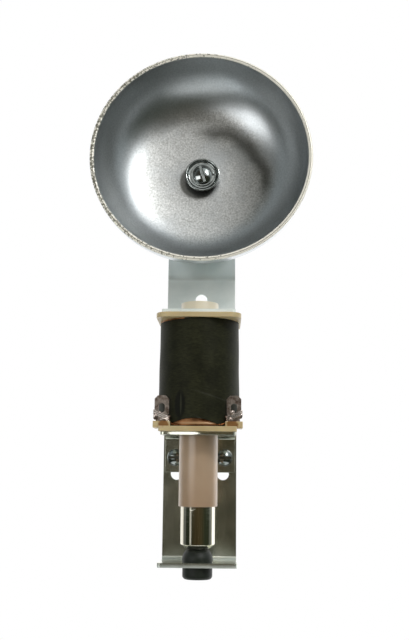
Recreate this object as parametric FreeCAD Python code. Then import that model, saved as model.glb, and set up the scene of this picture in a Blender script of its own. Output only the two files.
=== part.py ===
import FreeCAD, Part
import math
import os

# Single-stroke solenoid gong unit: a steel strip carries a gong at its top, a coil below it
# and a rubber bumper in its bottom flange. Energising the coil throws the steel plunger up,
# its nylon striker hits the skirt of the gong, and the plunger falls back on the bumper.
#
# Millimetres. X runs across the strip, Y from front to back, Z up. The origin is on the flat
# back face of the strip, midway between its two mounting holes.

V = FreeCAD.Vector
RIGHT = V(1, 0, 0)
BACK = V(0, 1, 0)
UP = V(0, 0, 1)
ORIGIN = V(0, 0, 0)

# ---------------------------------------------------------------- driving dimensions
# Clearances
SEAT_GAP = 0.05            # between parts that are assembled and stay together, per side
SCREW_CLEARANCE = 0.2      # a screw in its clearance hole, on the radius
SLEEVE_CLEARANCE = 0.15    # the coil sleeve in the bobbin and in the two coil brackets
RUNNING_CLEARANCE = 0.09   # the plunger in its sleeve, on the radius
REST_GAP = 0.1             # the plunger above the rubber bumper at rest
STRIKE_CLEARANCE = 0.5     # the striker's tip below the gong's skirt at full stroke
WRAP_CLEARANCE = 0.15      # the ears and the wire's turns outside the tape wrap

# Frame strip, folded from one length of flat steel
STRIP_THICKNESS = 1.6
PLATE_WIDTH = 28.6         # the lower part, behind the coil and the plunger
NECK_WIDTH = 27.4          # the upper part, which carries the gong
NECK_DROP = 6.0            # the width changes this far below the top of the coil
NECK_CHAMFER = 0.6
FLANGE_DEPTH = 25.5        # the bottom flange, in front of the plate's front face
FLANGE_BEND_RADIUS = 1.4
FLANGE_CORNER_RADIUS = 1.2
FOLD_ANGLE = 3.3           # the flange is folded this far past square, its front edge up
LEAN_ANGLE = 3.0           # the top of the strip leans back, in degrees
BEND_ABOVE_MOUNT_HOLE = 10.3
STRIP_ABOVE_HUB = 11.0
STRIP_TOP_RADIUS = 6.0

# Mounting holes, on the centre line of the strip
MOUNT_HOLE_RADIUS = 2.4
MOUNT_HOLE_SPACING = 88.9
MOUNT_HOLE_ABOVE_COIL = 9.6   # the upper hole above the upper coil bracket

# Coil and plunger axis
AXIS_REACH = 18.7          # from the plate's front face

# Lower coil bracket, screwed on
LOWER_BRACKET_WIDTH = 27.3
LOWER_BRACKET_THICKNESS = 1.2
LOWER_BRACKET_REACH = 30.3
LOWER_BRACKET_DROP = 14.8  # from its top face to the lower edge of its leg
LOWER_BRACKET_SEAT = 46.6  # its top face above the bottom flange, on the coil's axis
SCREW_DROP = 9.1           # the screws below its top face
SCREW_SPACING = 19.0
SPARE_HOLE_DROP = 6.3      # a second pair of holes, below the screws, for a longer coil
SPARE_HOLE_SPACING = 18.1
SPARE_HOLE_RADIUS = 2.35

# Upper coil bracket, riveted on
UPPER_BRACKET_THICKNESS = 1.6
UPPER_BRACKET_REACH = 31.7
UPPER_BRACKET_DROP = 14.4
RIVET_DROP = 9.6
RIVET_SPACING = 17.5
BRACKET_BEND_RADIUS = 1.2
BRACKET_CORNER_RADIUS = 1.5

# Bracket screws, their lock washers and the rivets
SCREW_RADIUS = 1.75
SCREW_HEAD_RADIUS = 2.8
SCREW_HEAD_HEIGHT = 2.2
SCREW_DOME_RISE = 1.1
SCREW_TIP_INSET = 0.1      # the screw ends this far inside the back face
SLOT_WIDTH = 1.1
SLOT_DEPTH = 1.2
LOCK_WASHER_RADIUS = 3.35
LOCK_WASHER_THICKNESS = 0.9
LOCK_WASHER_SPLIT = 0.8
RIVET_RADIUS = 1.5
RIVET_HEAD_RADIUS = 2.7
RIVET_HEAD_RISE = 0.8
RIVET_TAIL_DEPTH = 0.7     # the countersunk tail, flush with the back face

# Coil
BOBBIN_LENGTH = 43.0
BOBBIN_FLANGE_THICKNESS = 1.8
BOBBIN_FLANGE_REACH = 15.7        # both flanges, from the axis to the front and to the back
UPPER_FLANGE_HALF_WIDTH = 15.6
UPPER_FLANGE_CORNER_RADIUS = 4.5
LOWER_FLANGE_HALF_WIDTH = 14.0
LOWER_FLANGE_CORNER_RADIUS = 1.0
BOBBIN_WALL = 0.9
EAR_REACH = 16.1           # the two terminal ears stand out to this half width
EAR_FRONT = 13.4           # from this far in front of the axis
EAR_BACK = 3.0             # to this far in front of it
EAR_RISE = 1.8             # above the top face of the lower bobbin flange
EAR_UNDERCUT = 1.2         # the ear's underside above the flange's underside
WINDING_RADIUS = 14.7
WRAP_LOWER_RADIUS = 15.4
WRAP_UPPER_RADIUS = 15.05
WRAP_EDGE_HEIGHT = 2.8     # bare winding shows below the tape for this height
WRAP_EDGE_ROUND = 0.3

# Solder lugs and the coil's own lead wires
LUG_OFFSET = 13.0          # from the axis, across
LUG_THICKNESS = 0.5
LUG_WIDTH = 5.2
LUG_HEIGHT = 9.2           # above the ear
LUG_TOP_ROUND = 1.2
LUG_NECK_WIDTH = 4.2
LUG_NECK_HEIGHT = 2.2
LUG_TAIL_LENGTH = 1.6      # in the ear's pocket
LUG_HOLE_WIDTH = 2.2
LUG_HOLE_HEIGHT = 3.4
LUG_HOLE_DROP = 4.5        # the hole's centre below the lug's top
WIRE_RADIUS = 0.28
WIRE_TURN_PITCH = 0.5      # the turns lie against each other
WIRE_TURNS = 3

# Coil sleeve
SLEEVE_RADIUS = 7.15
SLEEVE_BELOW_COIL = 25.55  # below the underside of the lower coil bracket
SLEEVE_ABOVE_COIL = 4.15   # above the upper coil bracket

# Plunger and striker
PLUNGER_RADIUS = 6.35
PLUNGER_LENGTH = 50.8
PLUNGER_NOSE_WIDTH = 2.4
PLUNGER_NOSE_HEIGHT = 1.7
PLUNGER_TOP_CHAMFER = 0.5
PLUNGER_STROKE = 16.6
STRIKER_RADIUS = 3.2
STRIKER_DOME_RISE = 1.0
STRIKER_STEM_RADIUS = 2.4
STRIKER_STEM_LENGTH = 9.0
STRIKER_RECESS = 1.0       # its tip below the top of the sleeve at rest

# Rubber bumper, snapped into the bottom flange and square to it
BUMPER_RADIUS = 5.45
BUMPER_NECK_RADIUS = 4.0
BUMPER_TOP_RADIUS = 4.1
BUMPER_TOP_HEIGHT = 4.4
BUMPER_TOP_SWELL = 0.65    # how far the pad's side stands out from a straight cone
BUMPER_BOTTOM_HEIGHT = 4.3
BUMPER_BOTTOM_ROUND = 1.4
BUMPER_HOLE_RADIUS = 1.5

# Gong and the stack on its screw, named from the strip to the front
GONG_RADIUS = 43.55
GONG_DEPTH = 26.0
GONG_WALL = 1.7
GONG_SEAT_RADIUS = 8.2     # flat in the middle of the crown, for the washers
GONG_CROWN_ANGLE = 12.0    # how far the crown curves before the shoulder begins, in degrees
GONG_LIP = 0.5             # straight part of the skirt behind the rim
GONG_RIM_CHAMFER = 0.35
REAR_WASHER_RADIUS = 8.0
REAR_WASHER_THICKNESS = 1.3
FRONT_WASHER_RADIUS = 6.0
FRONT_WASHER_THICKNESS = 2.4
CUP_WASHER_RADIUS = 7.15
CUP_WASHER_FLOOR = 0.8
CUP_WASHER_RIM_HEIGHT = 1.8
CUP_WASHER_RIM_WIDTH = 0.7
GONG_SCREW_RADIUS = 2.05
GONG_HEAD_RADIUS = 4.0
GONG_HEAD_HEIGHT = 2.3
GONG_HEAD_DOME_RISE = 1.5
GONG_SLOT_ANGLE = -74.0
HEAD_WASHER_RADIUS = 4.9
HEAD_WASHER_THICKNESS = 0.6

# ---------------------------------------------------------------- places worked out from them
AXIS_Y = -(STRIP_THICKNESS + AXIS_REACH)
PLATE_FRONT_Y = -STRIP_THICKNESS

COIL_TOP_ABOVE_FLANGE = LOWER_BRACKET_SEAT + BOBBIN_LENGTH + UPPER_BRACKET_THICKNESS
UPPER_HOLE_ABOVE_FLANGE = COIL_TOP_ABOVE_FLANGE + MOUNT_HOLE_ABOVE_COIL

UPPER_HOLE_Z = MOUNT_HOLE_SPACING / 2
LOWER_HOLE_Z = -MOUNT_HOLE_SPACING / 2
FLANGE_TOP_Z = UPPER_HOLE_Z - UPPER_HOLE_ABOVE_FLANGE
BEND_Z = UPPER_HOLE_Z + BEND_ABOVE_MOUNT_HOLE

BOBBIN_BOTTOM_Z = FLANGE_TOP_Z + LOWER_BRACKET_SEAT
BOBBIN_TOP_Z = BOBBIN_BOTTOM_Z + BOBBIN_LENGTH
LOWER_SCREW_Z = BOBBIN_BOTTOM_Z - SCREW_DROP
COIL_BRACKET_TOP_Z = BOBBIN_TOP_Z + UPPER_BRACKET_THICKNESS
RIVET_Z = COIL_BRACKET_TOP_Z - RIVET_DROP
NECK_Z = COIL_BRACKET_TOP_Z - NECK_DROP

SLEEVE_BOTTOM_Z = BOBBIN_BOTTOM_Z - LOWER_BRACKET_THICKNESS - SLEEVE_BELOW_COIL
SLEEVE_TOP_Z = COIL_BRACKET_TOP_Z + SLEEVE_ABOVE_COIL
SLEEVE_BORE_RADIUS = PLUNGER_RADIUS + RUNNING_CLEARANCE
SLEEVE_HOLE_RADIUS = SLEEVE_RADIUS + SLEEVE_CLEARANCE

FOLD = math.radians(FOLD_ANGLE)
BUMPER_TOP_Z = FLANGE_TOP_Z + BUMPER_TOP_HEIGHT * math.cos(FOLD) + BUMPER_TOP_RADIUS * math.sin(FOLD)
PLUNGER_BOTTOM_Z = BUMPER_TOP_Z + REST_GAP
PLUNGER_TOP_Z = PLUNGER_BOTTOM_Z + PLUNGER_LENGTH
STRIKER_TIP_Z = SLEEVE_TOP_Z - STRIKER_RECESS
STRIKE_Z = STRIKER_TIP_Z + PLUNGER_STROKE + STRIKE_CLEARANCE

ALONG_FLANGE = V(0, -math.cos(FOLD), math.sin(FOLD))
OUT_OF_FLANGE = V(0, math.sin(FOLD), math.cos(FOLD))
FLANGE_ON_AXIS = V(0, AXIS_Y, FLANGE_TOP_Z)
FLANGE_CORNER_Z = FLANGE_TOP_Z - AXIS_REACH * math.tan(FOLD)
LEAN = math.radians(LEAN_ANGLE)
FORWARD_LEANED = V(0, -math.cos(LEAN), math.sin(LEAN))
UP_LEANED = V(0, math.sin(LEAN), math.cos(LEAN))
RIM_FORWARD = REAR_WASHER_THICKNESS + GONG_DEPTH

# The crown's arc leaves the flat seat without a step, the shoulder's arc runs straight into the
# lip, and the two arcs meet where both lean at the crown angle. That fixes their radii.
CROWN = math.radians(GONG_CROWN_ANGLE)
GONG_REACH = GONG_RADIUS - GONG_SEAT_RADIUS
CROWN_RADIUS = ((GONG_REACH * math.cos(CROWN) - (GONG_DEPTH - GONG_LIP) * (1 - math.sin(CROWN)))
                / (math.sin(CROWN) + math.cos(CROWN) - 1))
SHOULDER_RADIUS = (GONG_REACH - CROWN_RADIUS * math.sin(CROWN)) / (1 - math.sin(CROWN))

# Each lug stands just far enough forward for the turns behind it to clear the tape wrap.
EAR_INNER_X = LUG_OFFSET - LUG_WIDTH / 2 - LUG_THICKNESS
TURN_ACROSS = LUG_NECK_WIDTH / 2 + SEAT_GAP + WIRE_RADIUS
TURN_THROUGH = LUG_THICKNESS / 2 + SEAT_GAP + WIRE_RADIUS
TURN_BACK = math.sqrt((WRAP_LOWER_RADIUS + WRAP_CLEARANCE + WIRE_RADIUS) ** 2
                      - (LUG_OFFSET - TURN_ACROSS) ** 2)
LUG_Y = AXIS_Y - TURN_BACK - TURN_THROUGH

FRONT_STACK = REAR_WASHER_THICKNESS + GONG_WALL + FRONT_WASHER_THICKNESS
HEAD_SEAT = FRONT_STACK + CUP_WASHER_FLOOR + HEAD_WASHER_THICKNESS
STACK_HOLE_RADIUS = GONG_SCREW_RADIUS + SCREW_CLEARANCE


def skirt_radius(behind_rim):
    """Outer radius of the gong at a distance behind its rim: straight lip, round shoulder."""
    along = max(behind_rim - GONG_LIP, 0)
    return GONG_RADIUS - SHOULDER_RADIUS + math.sqrt(SHOULDER_RADIUS ** 2 - along ** 2)


def hub_above_bend():
    """How far up the leaned strip the gong's hub sits, so that its skirt is at STRIKE_Z."""
    rise = STRIKE_Z - BEND_Z
    behind_rim = RIM_FORWARD - AXIS_REACH * math.cos(LEAN) - rise * math.sin(LEAN)
    return skirt_radius(behind_rim) + rise * math.cos(LEAN) - AXIS_REACH * math.sin(LEAN)


HUB_ABOVE_BEND = hub_above_bend()
HUB = V(0, PLATE_FRONT_Y, BEND_Z) + UP_LEANED * HUB_ABOVE_BEND


# ---------------------------------------------------------------- shared shapes
def block(low, high):
    """Box between two opposite corners."""
    size = high - low
    return Part.makeBox(size.x, size.y, size.z, low)


def prism(points, direction):
    """Closed outline through the points, extruded along a vector."""
    outline = Part.makePolygon(points + [points[0]])
    return Part.Face(outline).extrude(direction)


def turned(edges, centre):
    """Full turn of a closed profile in the XZ plane about the Z axis, moved to a centre."""
    solid = Part.Face(Part.Wire(edges)).revolve(ORIGIN, UP, 360)
    solid.translate(centre)
    return solid


def turned_polygon(radii_and_heights, centre):
    """Full turn of a polygon given as (radius, height) pairs."""
    points = [V(radius, 0, height) for radius, height in radii_and_heights]
    return turned(Part.makePolygon(points + [points[0]]).Edges, centre)


def ring(outer, inner, height, base):
    """Flat ring standing on a base point, with its axis along Z."""
    return Part.makeCylinder(outer, height, base).cut(Part.makeCylinder(inner, height, base))


def split_ring(outer, inner, height, split, base):
    """Ring with one saw cut, as a spring lock washer has."""
    cut = block(V(0, -split / 2, 0), V(outer * 2, split / 2, height))
    cut.translate(base)
    return ring(outer, inner, height, base).cut(cut)


def edges_like(shape, direction, test):
    """Straight edges of a shape along a direction whose middle point passes a test."""
    found = []
    for edge in shape.Edges:
        if edge.Curve.TypeId != "Part::GeomLine":
            continue
        along = abs(edge.tangentAt(edge.FirstParameter).dot(direction))
        if along > 1 - 1e-6 and test(edge.CenterOfMass):
            found.append(edge)
    return found


def facing_front(shape, base):
    """Turn a shape built along +Z so that +Z points to the front, then move it."""
    shape.rotate(ORIGIN, RIGHT, 90)
    shape.translate(base)
    return shape


def on_gong_axis(shape, forward):
    """Place a shape built along +Z on the gong's axis, this far in front of the strip."""
    shape.rotate(ORIGIN, RIGHT, 90 - LEAN_ANGLE)
    shape.translate(HUB + FORWARD_LEANED * forward)
    return shape


def slotted_head(radius, height, dome_rise, slot_angle):
    """Round screw head with a domed top and a slot, standing on the XY plane."""
    side = height - dome_rise
    foot = V(0, 0, 0)
    corner = V(radius, 0, side)
    top = V(0, 0, height)
    dome_radius = (radius ** 2 + dome_rise ** 2) / (2 * dome_rise)
    half_angle = math.asin(radius / dome_radius) / 2
    middle = V(dome_radius * math.sin(half_angle), 0,
               height - dome_radius * (1 - math.cos(half_angle)))
    edges = [
        Part.LineSegment(foot, V(radius, 0, 0)).toShape(),
        Part.LineSegment(V(radius, 0, 0), corner).toShape(),
        Part.Arc(corner, middle, top).toShape(),
        Part.LineSegment(top, foot).toShape(),
    ]
    head = turned(edges, ORIGIN)
    slot = block(V(-radius * 2, -SLOT_WIDTH / 2, height - SLOT_DEPTH),
                 V(radius * 2, SLOT_WIDTH / 2, height * 2))
    slot.rotate(ORIGIN, UP, slot_angle)
    return head.cut(slot)


# ---------------------------------------------------------------- frame strip
def frame_strip():
    """Side profile of the folded strip, pulled across its width, then trimmed and drilled."""
    inner_corner = V(0, PLATE_FRONT_Y, FLANGE_CORNER_Z)
    flange_front = inner_corner + ALONG_FLANGE * FLANGE_DEPTH
    outer_corner = V(0, 0, FLANGE_CORNER_Z - STRIP_THICKNESS * (1 + math.sin(FOLD)) / math.cos(FOLD))
    bend_front = V(0, PLATE_FRONT_Y, BEND_Z)
    bend_back = V(0, 0, BEND_Z - STRIP_THICKNESS * math.tan(LEAN / 2))
    top_front = bend_front + UP_LEANED * (HUB_ABOVE_BEND + STRIP_ABOVE_HUB)
    top_back = top_front - FORWARD_LEANED * STRIP_THICKNESS
    profile = [
        flange_front - OUT_OF_FLANGE * STRIP_THICKNESS,
        outer_corner,
        bend_back,
        top_back,
        top_front,
        bend_front,
        inner_corner,
        flange_front,
    ]
    strip = prism(profile, RIGHT * PLATE_WIDTH)
    strip.translate(RIGHT * (-PLATE_WIDTH / 2))

    inner_bend = edges_like(strip, RIGHT, lambda p: p.isEqual(inner_corner, 1e-4))
    strip = strip.makeFillet(FLANGE_BEND_RADIUS, inner_bend)
    outer_bend = edges_like(strip, RIGHT, lambda p: p.isEqual(outer_corner, 1e-4))
    strip = strip.makeFillet(FLANGE_BEND_RADIUS + STRIP_THICKNESS, outer_bend)

    strip = strip.common(strip_outline(outer_corner.z, top_back.z))
    front_corners = edges_like(strip, OUT_OF_FLANGE, lambda p: p.y < flange_front.y + STRIP_THICKNESS)
    strip = strip.makeFillet(FLANGE_CORNER_RADIUS, front_corners)

    for z in (UPPER_HOLE_Z, LOWER_HOLE_Z):
        strip = strip.cut(strip_hole(MOUNT_HOLE_RADIUS, 0, z))
    for side in (-1, 1):
        strip = strip.cut(strip_hole(SCREW_RADIUS + SEAT_GAP, side * SCREW_SPACING / 2, LOWER_SCREW_Z))
        strip = strip.cut(strip_hole(SPARE_HOLE_RADIUS, side * SPARE_HOLE_SPACING / 2,
                                     LOWER_SCREW_Z - SPARE_HOLE_DROP))
        strip = strip.cut(rivet(side * RIVET_SPACING / 2, SEAT_GAP))
    bumper_hole = Part.makeCylinder(BUMPER_NECK_RADIUS + SEAT_GAP, STRIP_THICKNESS,
                                    FLANGE_ON_AXIS, -OUT_OF_FLANGE)
    gong_hole = on_gong_axis(Part.makeCylinder(GONG_SCREW_RADIUS + SEAT_GAP, STRIP_THICKNESS),
                             -STRIP_THICKNESS)
    return strip.cut(bumper_hole).cut(gong_hole)


def strip_outline(bottom_z, top_z):
    """Front view of the strip as a deep prism: full width below, narrower neck above."""
    plate = PLATE_WIDTH / 2
    neck = NECK_WIDTH / 2
    front_y = PLATE_FRONT_Y - FLANGE_DEPTH - STRIP_THICKNESS
    points = [
        V(-plate, front_y, bottom_z),
        V(plate, front_y, bottom_z),
        V(plate, front_y, NECK_Z),
        V(neck, front_y, NECK_Z + NECK_CHAMFER),
        V(neck, front_y, top_z),
        V(-neck, front_y, top_z),
        V(-neck, front_y, NECK_Z + NECK_CHAMFER),
        V(-plate, front_y, NECK_Z),
    ]
    lean_depth = (top_z - BEND_Z) * math.tan(LEAN) + STRIP_THICKNESS
    outline = prism(points, BACK * (lean_depth - front_y))
    top_corners = edges_like(outline, BACK, lambda p: p.z > top_z - STRIP_THICKNESS)
    return outline.makeFillet(STRIP_TOP_RADIUS, top_corners)


def strip_hole(radius, x, z):
    """Drill through the flat of the strip, from its back face to the front."""
    return Part.makeCylinder(radius, STRIP_THICKNESS, V(x, 0, z), -BACK)


# ---------------------------------------------------------------- coil brackets
def coil_bracket(width, thickness, reach, drop, top_z):
    """Angle bracket: a leg flat on the plate and a shelf to the front with a sleeve hole."""
    leg_front_y = PLATE_FRONT_Y - thickness
    shelf_front_y = PLATE_FRONT_Y - reach
    profile = [
        V(0, PLATE_FRONT_Y, top_z - drop),
        V(0, PLATE_FRONT_Y, top_z),
        V(0, shelf_front_y, top_z),
        V(0, shelf_front_y, top_z - thickness),
        V(0, leg_front_y, top_z - thickness),
        V(0, leg_front_y, top_z - drop),
    ]
    bracket = prism(profile, RIGHT * width)
    bracket.translate(RIGHT * (-width / 2))
    inner = edges_like(bracket, RIGHT, lambda p: p.isEqual(V(0, leg_front_y, top_z - thickness), 1e-4))
    bracket = bracket.makeFillet(BRACKET_BEND_RADIUS, inner)
    outer = edges_like(bracket, RIGHT, lambda p: p.isEqual(V(0, PLATE_FRONT_Y, top_z), 1e-4))
    bracket = bracket.makeFillet(BRACKET_BEND_RADIUS + thickness, outer)
    front_corners = edges_like(bracket, UP, lambda p: p.y < shelf_front_y + thickness)
    bracket = bracket.makeFillet(BRACKET_CORNER_RADIUS, front_corners)
    sleeve_hole = Part.makeCylinder(SLEEVE_HOLE_RADIUS, thickness, V(0, AXIS_Y, top_z - thickness))
    return bracket.cut(sleeve_hole)


def lower_coil_bracket():
    bracket = coil_bracket(LOWER_BRACKET_WIDTH, LOWER_BRACKET_THICKNESS, LOWER_BRACKET_REACH,
                           LOWER_BRACKET_DROP, BOBBIN_BOTTOM_Z)
    for x in (-SCREW_SPACING / 2, SCREW_SPACING / 2):
        hole = Part.makeCylinder(SCREW_RADIUS + SCREW_CLEARANCE, LOWER_BRACKET_THICKNESS,
                                 V(x, PLATE_FRONT_Y, LOWER_SCREW_Z), -BACK)
        bracket = bracket.cut(hole)
    return bracket


def upper_coil_bracket():
    bracket = coil_bracket(NECK_WIDTH, UPPER_BRACKET_THICKNESS, UPPER_BRACKET_REACH,
                           UPPER_BRACKET_DROP, COIL_BRACKET_TOP_Z)
    for x in (-RIVET_SPACING / 2, RIVET_SPACING / 2):
        bracket = bracket.cut(rivet(x, SEAT_GAP))
    return bracket


def rivet(x, allowance):
    """Rivet through strip and bracket: domed head in front, flush countersunk tail behind.

    The allowance swells its shank and tail, so that the same shape cuts its hole.
    """
    grip = STRIP_THICKNESS + UPPER_BRACKET_THICKNESS
    shank = RIVET_RADIUS + allowance
    tail = RIVET_RADIUS + RIVET_TAIL_DEPTH + allowance
    body = turned_polygon([(0, 0), (tail, 0), (shank, RIVET_TAIL_DEPTH), (shank, grip), (0, grip)], ORIGIN)
    if allowance == 0:
        head = dome(RIVET_HEAD_RADIUS, RIVET_HEAD_RISE)
        head.translate(UP * grip)
        body = body.fuse(head).removeSplitter()
    return facing_front(body, V(x, 0, RIVET_Z))


def dome(radius, rise):
    """Spherical cap standing on the XY plane."""
    sphere_radius = (radius ** 2 + rise ** 2) / (2 * rise)
    sphere = Part.makeSphere(sphere_radius, V(0, 0, rise - sphere_radius))
    return sphere.common(Part.makeCylinder(radius, rise))


def bracket_screw(x):
    """Slotted screw through lock washer and bracket leg into the tapped hole of the strip."""
    under_head = STRIP_THICKNESS + LOWER_BRACKET_THICKNESS + LOCK_WASHER_THICKNESS
    head = slotted_head(SCREW_HEAD_RADIUS, SCREW_HEAD_HEIGHT, SCREW_DOME_RISE, 0)
    head.translate(UP * under_head)
    shank = Part.makeCylinder(SCREW_RADIUS, under_head - SCREW_TIP_INSET, V(0, 0, SCREW_TIP_INSET))
    return facing_front(shank.fuse(head).removeSplitter(), V(x, 0, LOWER_SCREW_Z))


def bracket_lock_washer(x):
    washer = split_ring(LOCK_WASHER_RADIUS, SCREW_RADIUS + SCREW_CLEARANCE, LOCK_WASHER_THICKNESS,
                        LOCK_WASHER_SPLIT, UP * (STRIP_THICKNESS + LOWER_BRACKET_THICKNESS))
    return facing_front(washer, V(x, 0, LOWER_SCREW_Z))


# ---------------------------------------------------------------- coil
def bobbin_flange(half_width, corner_radius, bottom_z):
    """Flat flange with four rounded corners."""
    flange = block(V(-half_width, AXIS_Y - BOBBIN_FLANGE_REACH, bottom_z),
                   V(half_width, AXIS_Y + BOBBIN_FLANGE_REACH, bottom_z + BOBBIN_FLANGE_THICKNESS))
    return flange.makeFillet(corner_radius, edges_like(flange, UP, lambda p: True))


def terminal_ear(side):
    """Moulded block on a side of the lower flange, outside the winding, with the lug's pocket."""
    low_z = BOBBIN_BOTTOM_Z + EAR_UNDERCUT
    high_z = BOBBIN_BOTTOM_Z + BOBBIN_FLANGE_THICKNESS + EAR_RISE
    ear = block(V(EAR_INNER_X, AXIS_Y - EAR_FRONT, low_z),
                V(EAR_REACH, AXIS_Y - EAR_BACK, high_z))
    ear = ear.cut(Part.makeCylinder(WRAP_LOWER_RADIUS + WRAP_CLEARANCE, high_z - low_z,
                                    V(0, AXIS_Y, low_z)))
    pocket_half = LUG_NECK_WIDTH / 2 + SEAT_GAP
    pocket_depth = LUG_THICKNESS / 2 + SEAT_GAP
    pocket = block(V(LUG_OFFSET - pocket_half, LUG_Y - pocket_depth, high_z - LUG_TAIL_LENGTH),
                   V(LUG_OFFSET + pocket_half, LUG_Y + pocket_depth, high_z))
    ear = ear.cut(pocket)
    return ear if side > 0 else ear.mirror(ORIGIN, RIGHT)


def coil_bobbin():
    core_inner = SLEEVE_HOLE_RADIUS
    core = Part.makeCylinder(core_inner + BOBBIN_WALL, BOBBIN_LENGTH, V(0, AXIS_Y, BOBBIN_BOTTOM_Z))
    bobbin = core.fuse(bobbin_flange(LOWER_FLANGE_HALF_WIDTH, LOWER_FLANGE_CORNER_RADIUS,
                                     BOBBIN_BOTTOM_Z))
    bobbin = bobbin.fuse(bobbin_flange(UPPER_FLANGE_HALF_WIDTH, UPPER_FLANGE_CORNER_RADIUS,
                                       BOBBIN_TOP_Z - BOBBIN_FLANGE_THICKNESS))
    bobbin = bobbin.fuse(terminal_ear(1)).fuse(terminal_ear(-1))
    bore = Part.makeCylinder(core_inner, BOBBIN_LENGTH, V(0, AXIS_Y, BOBBIN_BOTTOM_Z))
    return bobbin.cut(bore).removeSplitter()


def coil_winding():
    base = V(0, AXIS_Y, BOBBIN_BOTTOM_Z + BOBBIN_FLANGE_THICKNESS)
    height = BOBBIN_LENGTH - 2 * BOBBIN_FLANGE_THICKNESS
    return ring(WINDING_RADIUS, SLEEVE_HOLE_RADIUS + BOBBIN_WALL + SEAT_GAP, height, base)


def coil_tape_wrap():
    """Layers of tape over the winding, a little slimmer at the top."""
    height = BOBBIN_LENGTH - 2 * BOBBIN_FLANGE_THICKNESS - WRAP_EDGE_HEIGHT
    inner = WINDING_RADIUS + SEAT_GAP
    profile = [
        (inner, 0),
        (WRAP_LOWER_RADIUS - WRAP_EDGE_ROUND, 0),
        (WRAP_LOWER_RADIUS, WRAP_EDGE_ROUND),
        (WRAP_UPPER_RADIUS, height),
        (inner, height),
    ]
    base_z = BOBBIN_BOTTOM_Z + BOBBIN_FLANGE_THICKNESS + WRAP_EDGE_HEIGHT
    return turned_polygon(profile, V(0, AXIS_Y, base_z))


def solder_lug(side):
    """Tinned strip with an eye, a narrow neck for the wire and a tail in the ear's pocket."""
    ear_top_z = BOBBIN_BOTTOM_Z + BOBBIN_FLANGE_THICKNESS + EAR_RISE
    half = LUG_WIDTH / 2
    neck = LUG_NECK_WIDTH / 2
    shoulder = LUG_NECK_HEIGHT + (half - neck)
    front_y = LUG_Y - LUG_THICKNESS / 2
    outline = [
        (-neck, -LUG_TAIL_LENGTH),
        (neck, -LUG_TAIL_LENGTH),
        (neck, LUG_NECK_HEIGHT),
        (half, shoulder),
        (half, LUG_HEIGHT - LUG_TOP_ROUND),
        (half - LUG_TOP_ROUND, LUG_HEIGHT),
        (LUG_TOP_ROUND - half, LUG_HEIGHT),
        (-half, LUG_HEIGHT - LUG_TOP_ROUND),
        (-half, shoulder),
        (-neck, LUG_NECK_HEIGHT),
    ]
    points = [V(side * LUG_OFFSET + x, front_y, ear_top_z + z) for x, z in outline]
    lug = prism(points, BACK * LUG_THICKNESS)
    eye_z = ear_top_z + LUG_HEIGHT - LUG_HOLE_DROP
    eye_radius = LUG_HOLE_WIDTH / 2
    eye_half = (LUG_HOLE_HEIGHT - LUG_HOLE_WIDTH) / 2
    eye_x = side * LUG_OFFSET
    eye = block(V(eye_x - eye_radius, front_y, eye_z - eye_half),
                V(eye_x + eye_radius, front_y + LUG_THICKNESS, eye_z + eye_half))
    for z in (eye_z - eye_half, eye_z + eye_half):
        eye = eye.fuse(Part.makeCylinder(eye_radius, LUG_THICKNESS, V(eye_x, front_y, z), BACK))
    return lug.cut(eye)


def bent_wire(points):
    """Round wire along straight runs, mitred where they meet."""
    start, following = points[:2]
    section = Part.Wire(Part.makeCircle(WIRE_RADIUS, start, following - start))
    mitred = 1
    return Part.makePolygon(points).makePipeShell([section], True, False, mitred)


def lead_wire(side):
    """Turns around the lug's neck, then down beside the ear to meet the bare winding."""
    low_z = BOBBIN_BOTTOM_Z + BOBBIN_FLANGE_THICKNESS + EAR_RISE + WIRE_RADIUS + SEAT_GAP
    corners = [(0, TURN_THROUGH), (TURN_ACROSS, TURN_THROUGH), (TURN_ACROSS, -TURN_THROUGH),
               (-TURN_ACROSS, -TURN_THROUGH), (-TURN_ACROSS, TURN_THROUGH), (0, TURN_THROUGH)]
    turns = []
    for turn in range(WIRE_TURNS):
        z = low_z + turn * WIRE_TURN_PITCH
        turns.append(bent_wire([V(side * LUG_OFFSET + x, LUG_Y + y, z) for x, y in corners]))

    stand_off = WINDING_RADIUS + WIRE_RADIUS + SEAT_GAP
    drop_x = EAR_INNER_X - WIRE_RADIUS - SEAT_GAP
    drop_y = AXIS_Y - LUG_Y
    reach = math.hypot(drop_x, drop_y)
    touch_angle = math.atan2(drop_x, drop_y) - math.acos(stand_off / reach)
    touch_z = BOBBIN_BOTTOM_Z + BOBBIN_FLANGE_THICKNESS + WRAP_EDGE_HEIGHT / 2
    run = bent_wire([
        V(side * (LUG_OFFSET - TURN_ACROSS), LUG_Y, low_z),
        V(side * drop_x, LUG_Y, low_z),
        V(side * stand_off * math.sin(touch_angle), AXIS_Y - stand_off * math.cos(touch_angle), touch_z),
    ])
    return run.multiFuse(turns).removeSplitter()


# ---------------------------------------------------------------- sleeve, plunger and bumper
def coil_sleeve():
    return ring(SLEEVE_RADIUS, SLEEVE_BORE_RADIUS, SLEEVE_TOP_Z - SLEEVE_BOTTOM_Z,
                V(0, AXIS_Y, SLEEVE_BOTTOM_Z))


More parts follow.
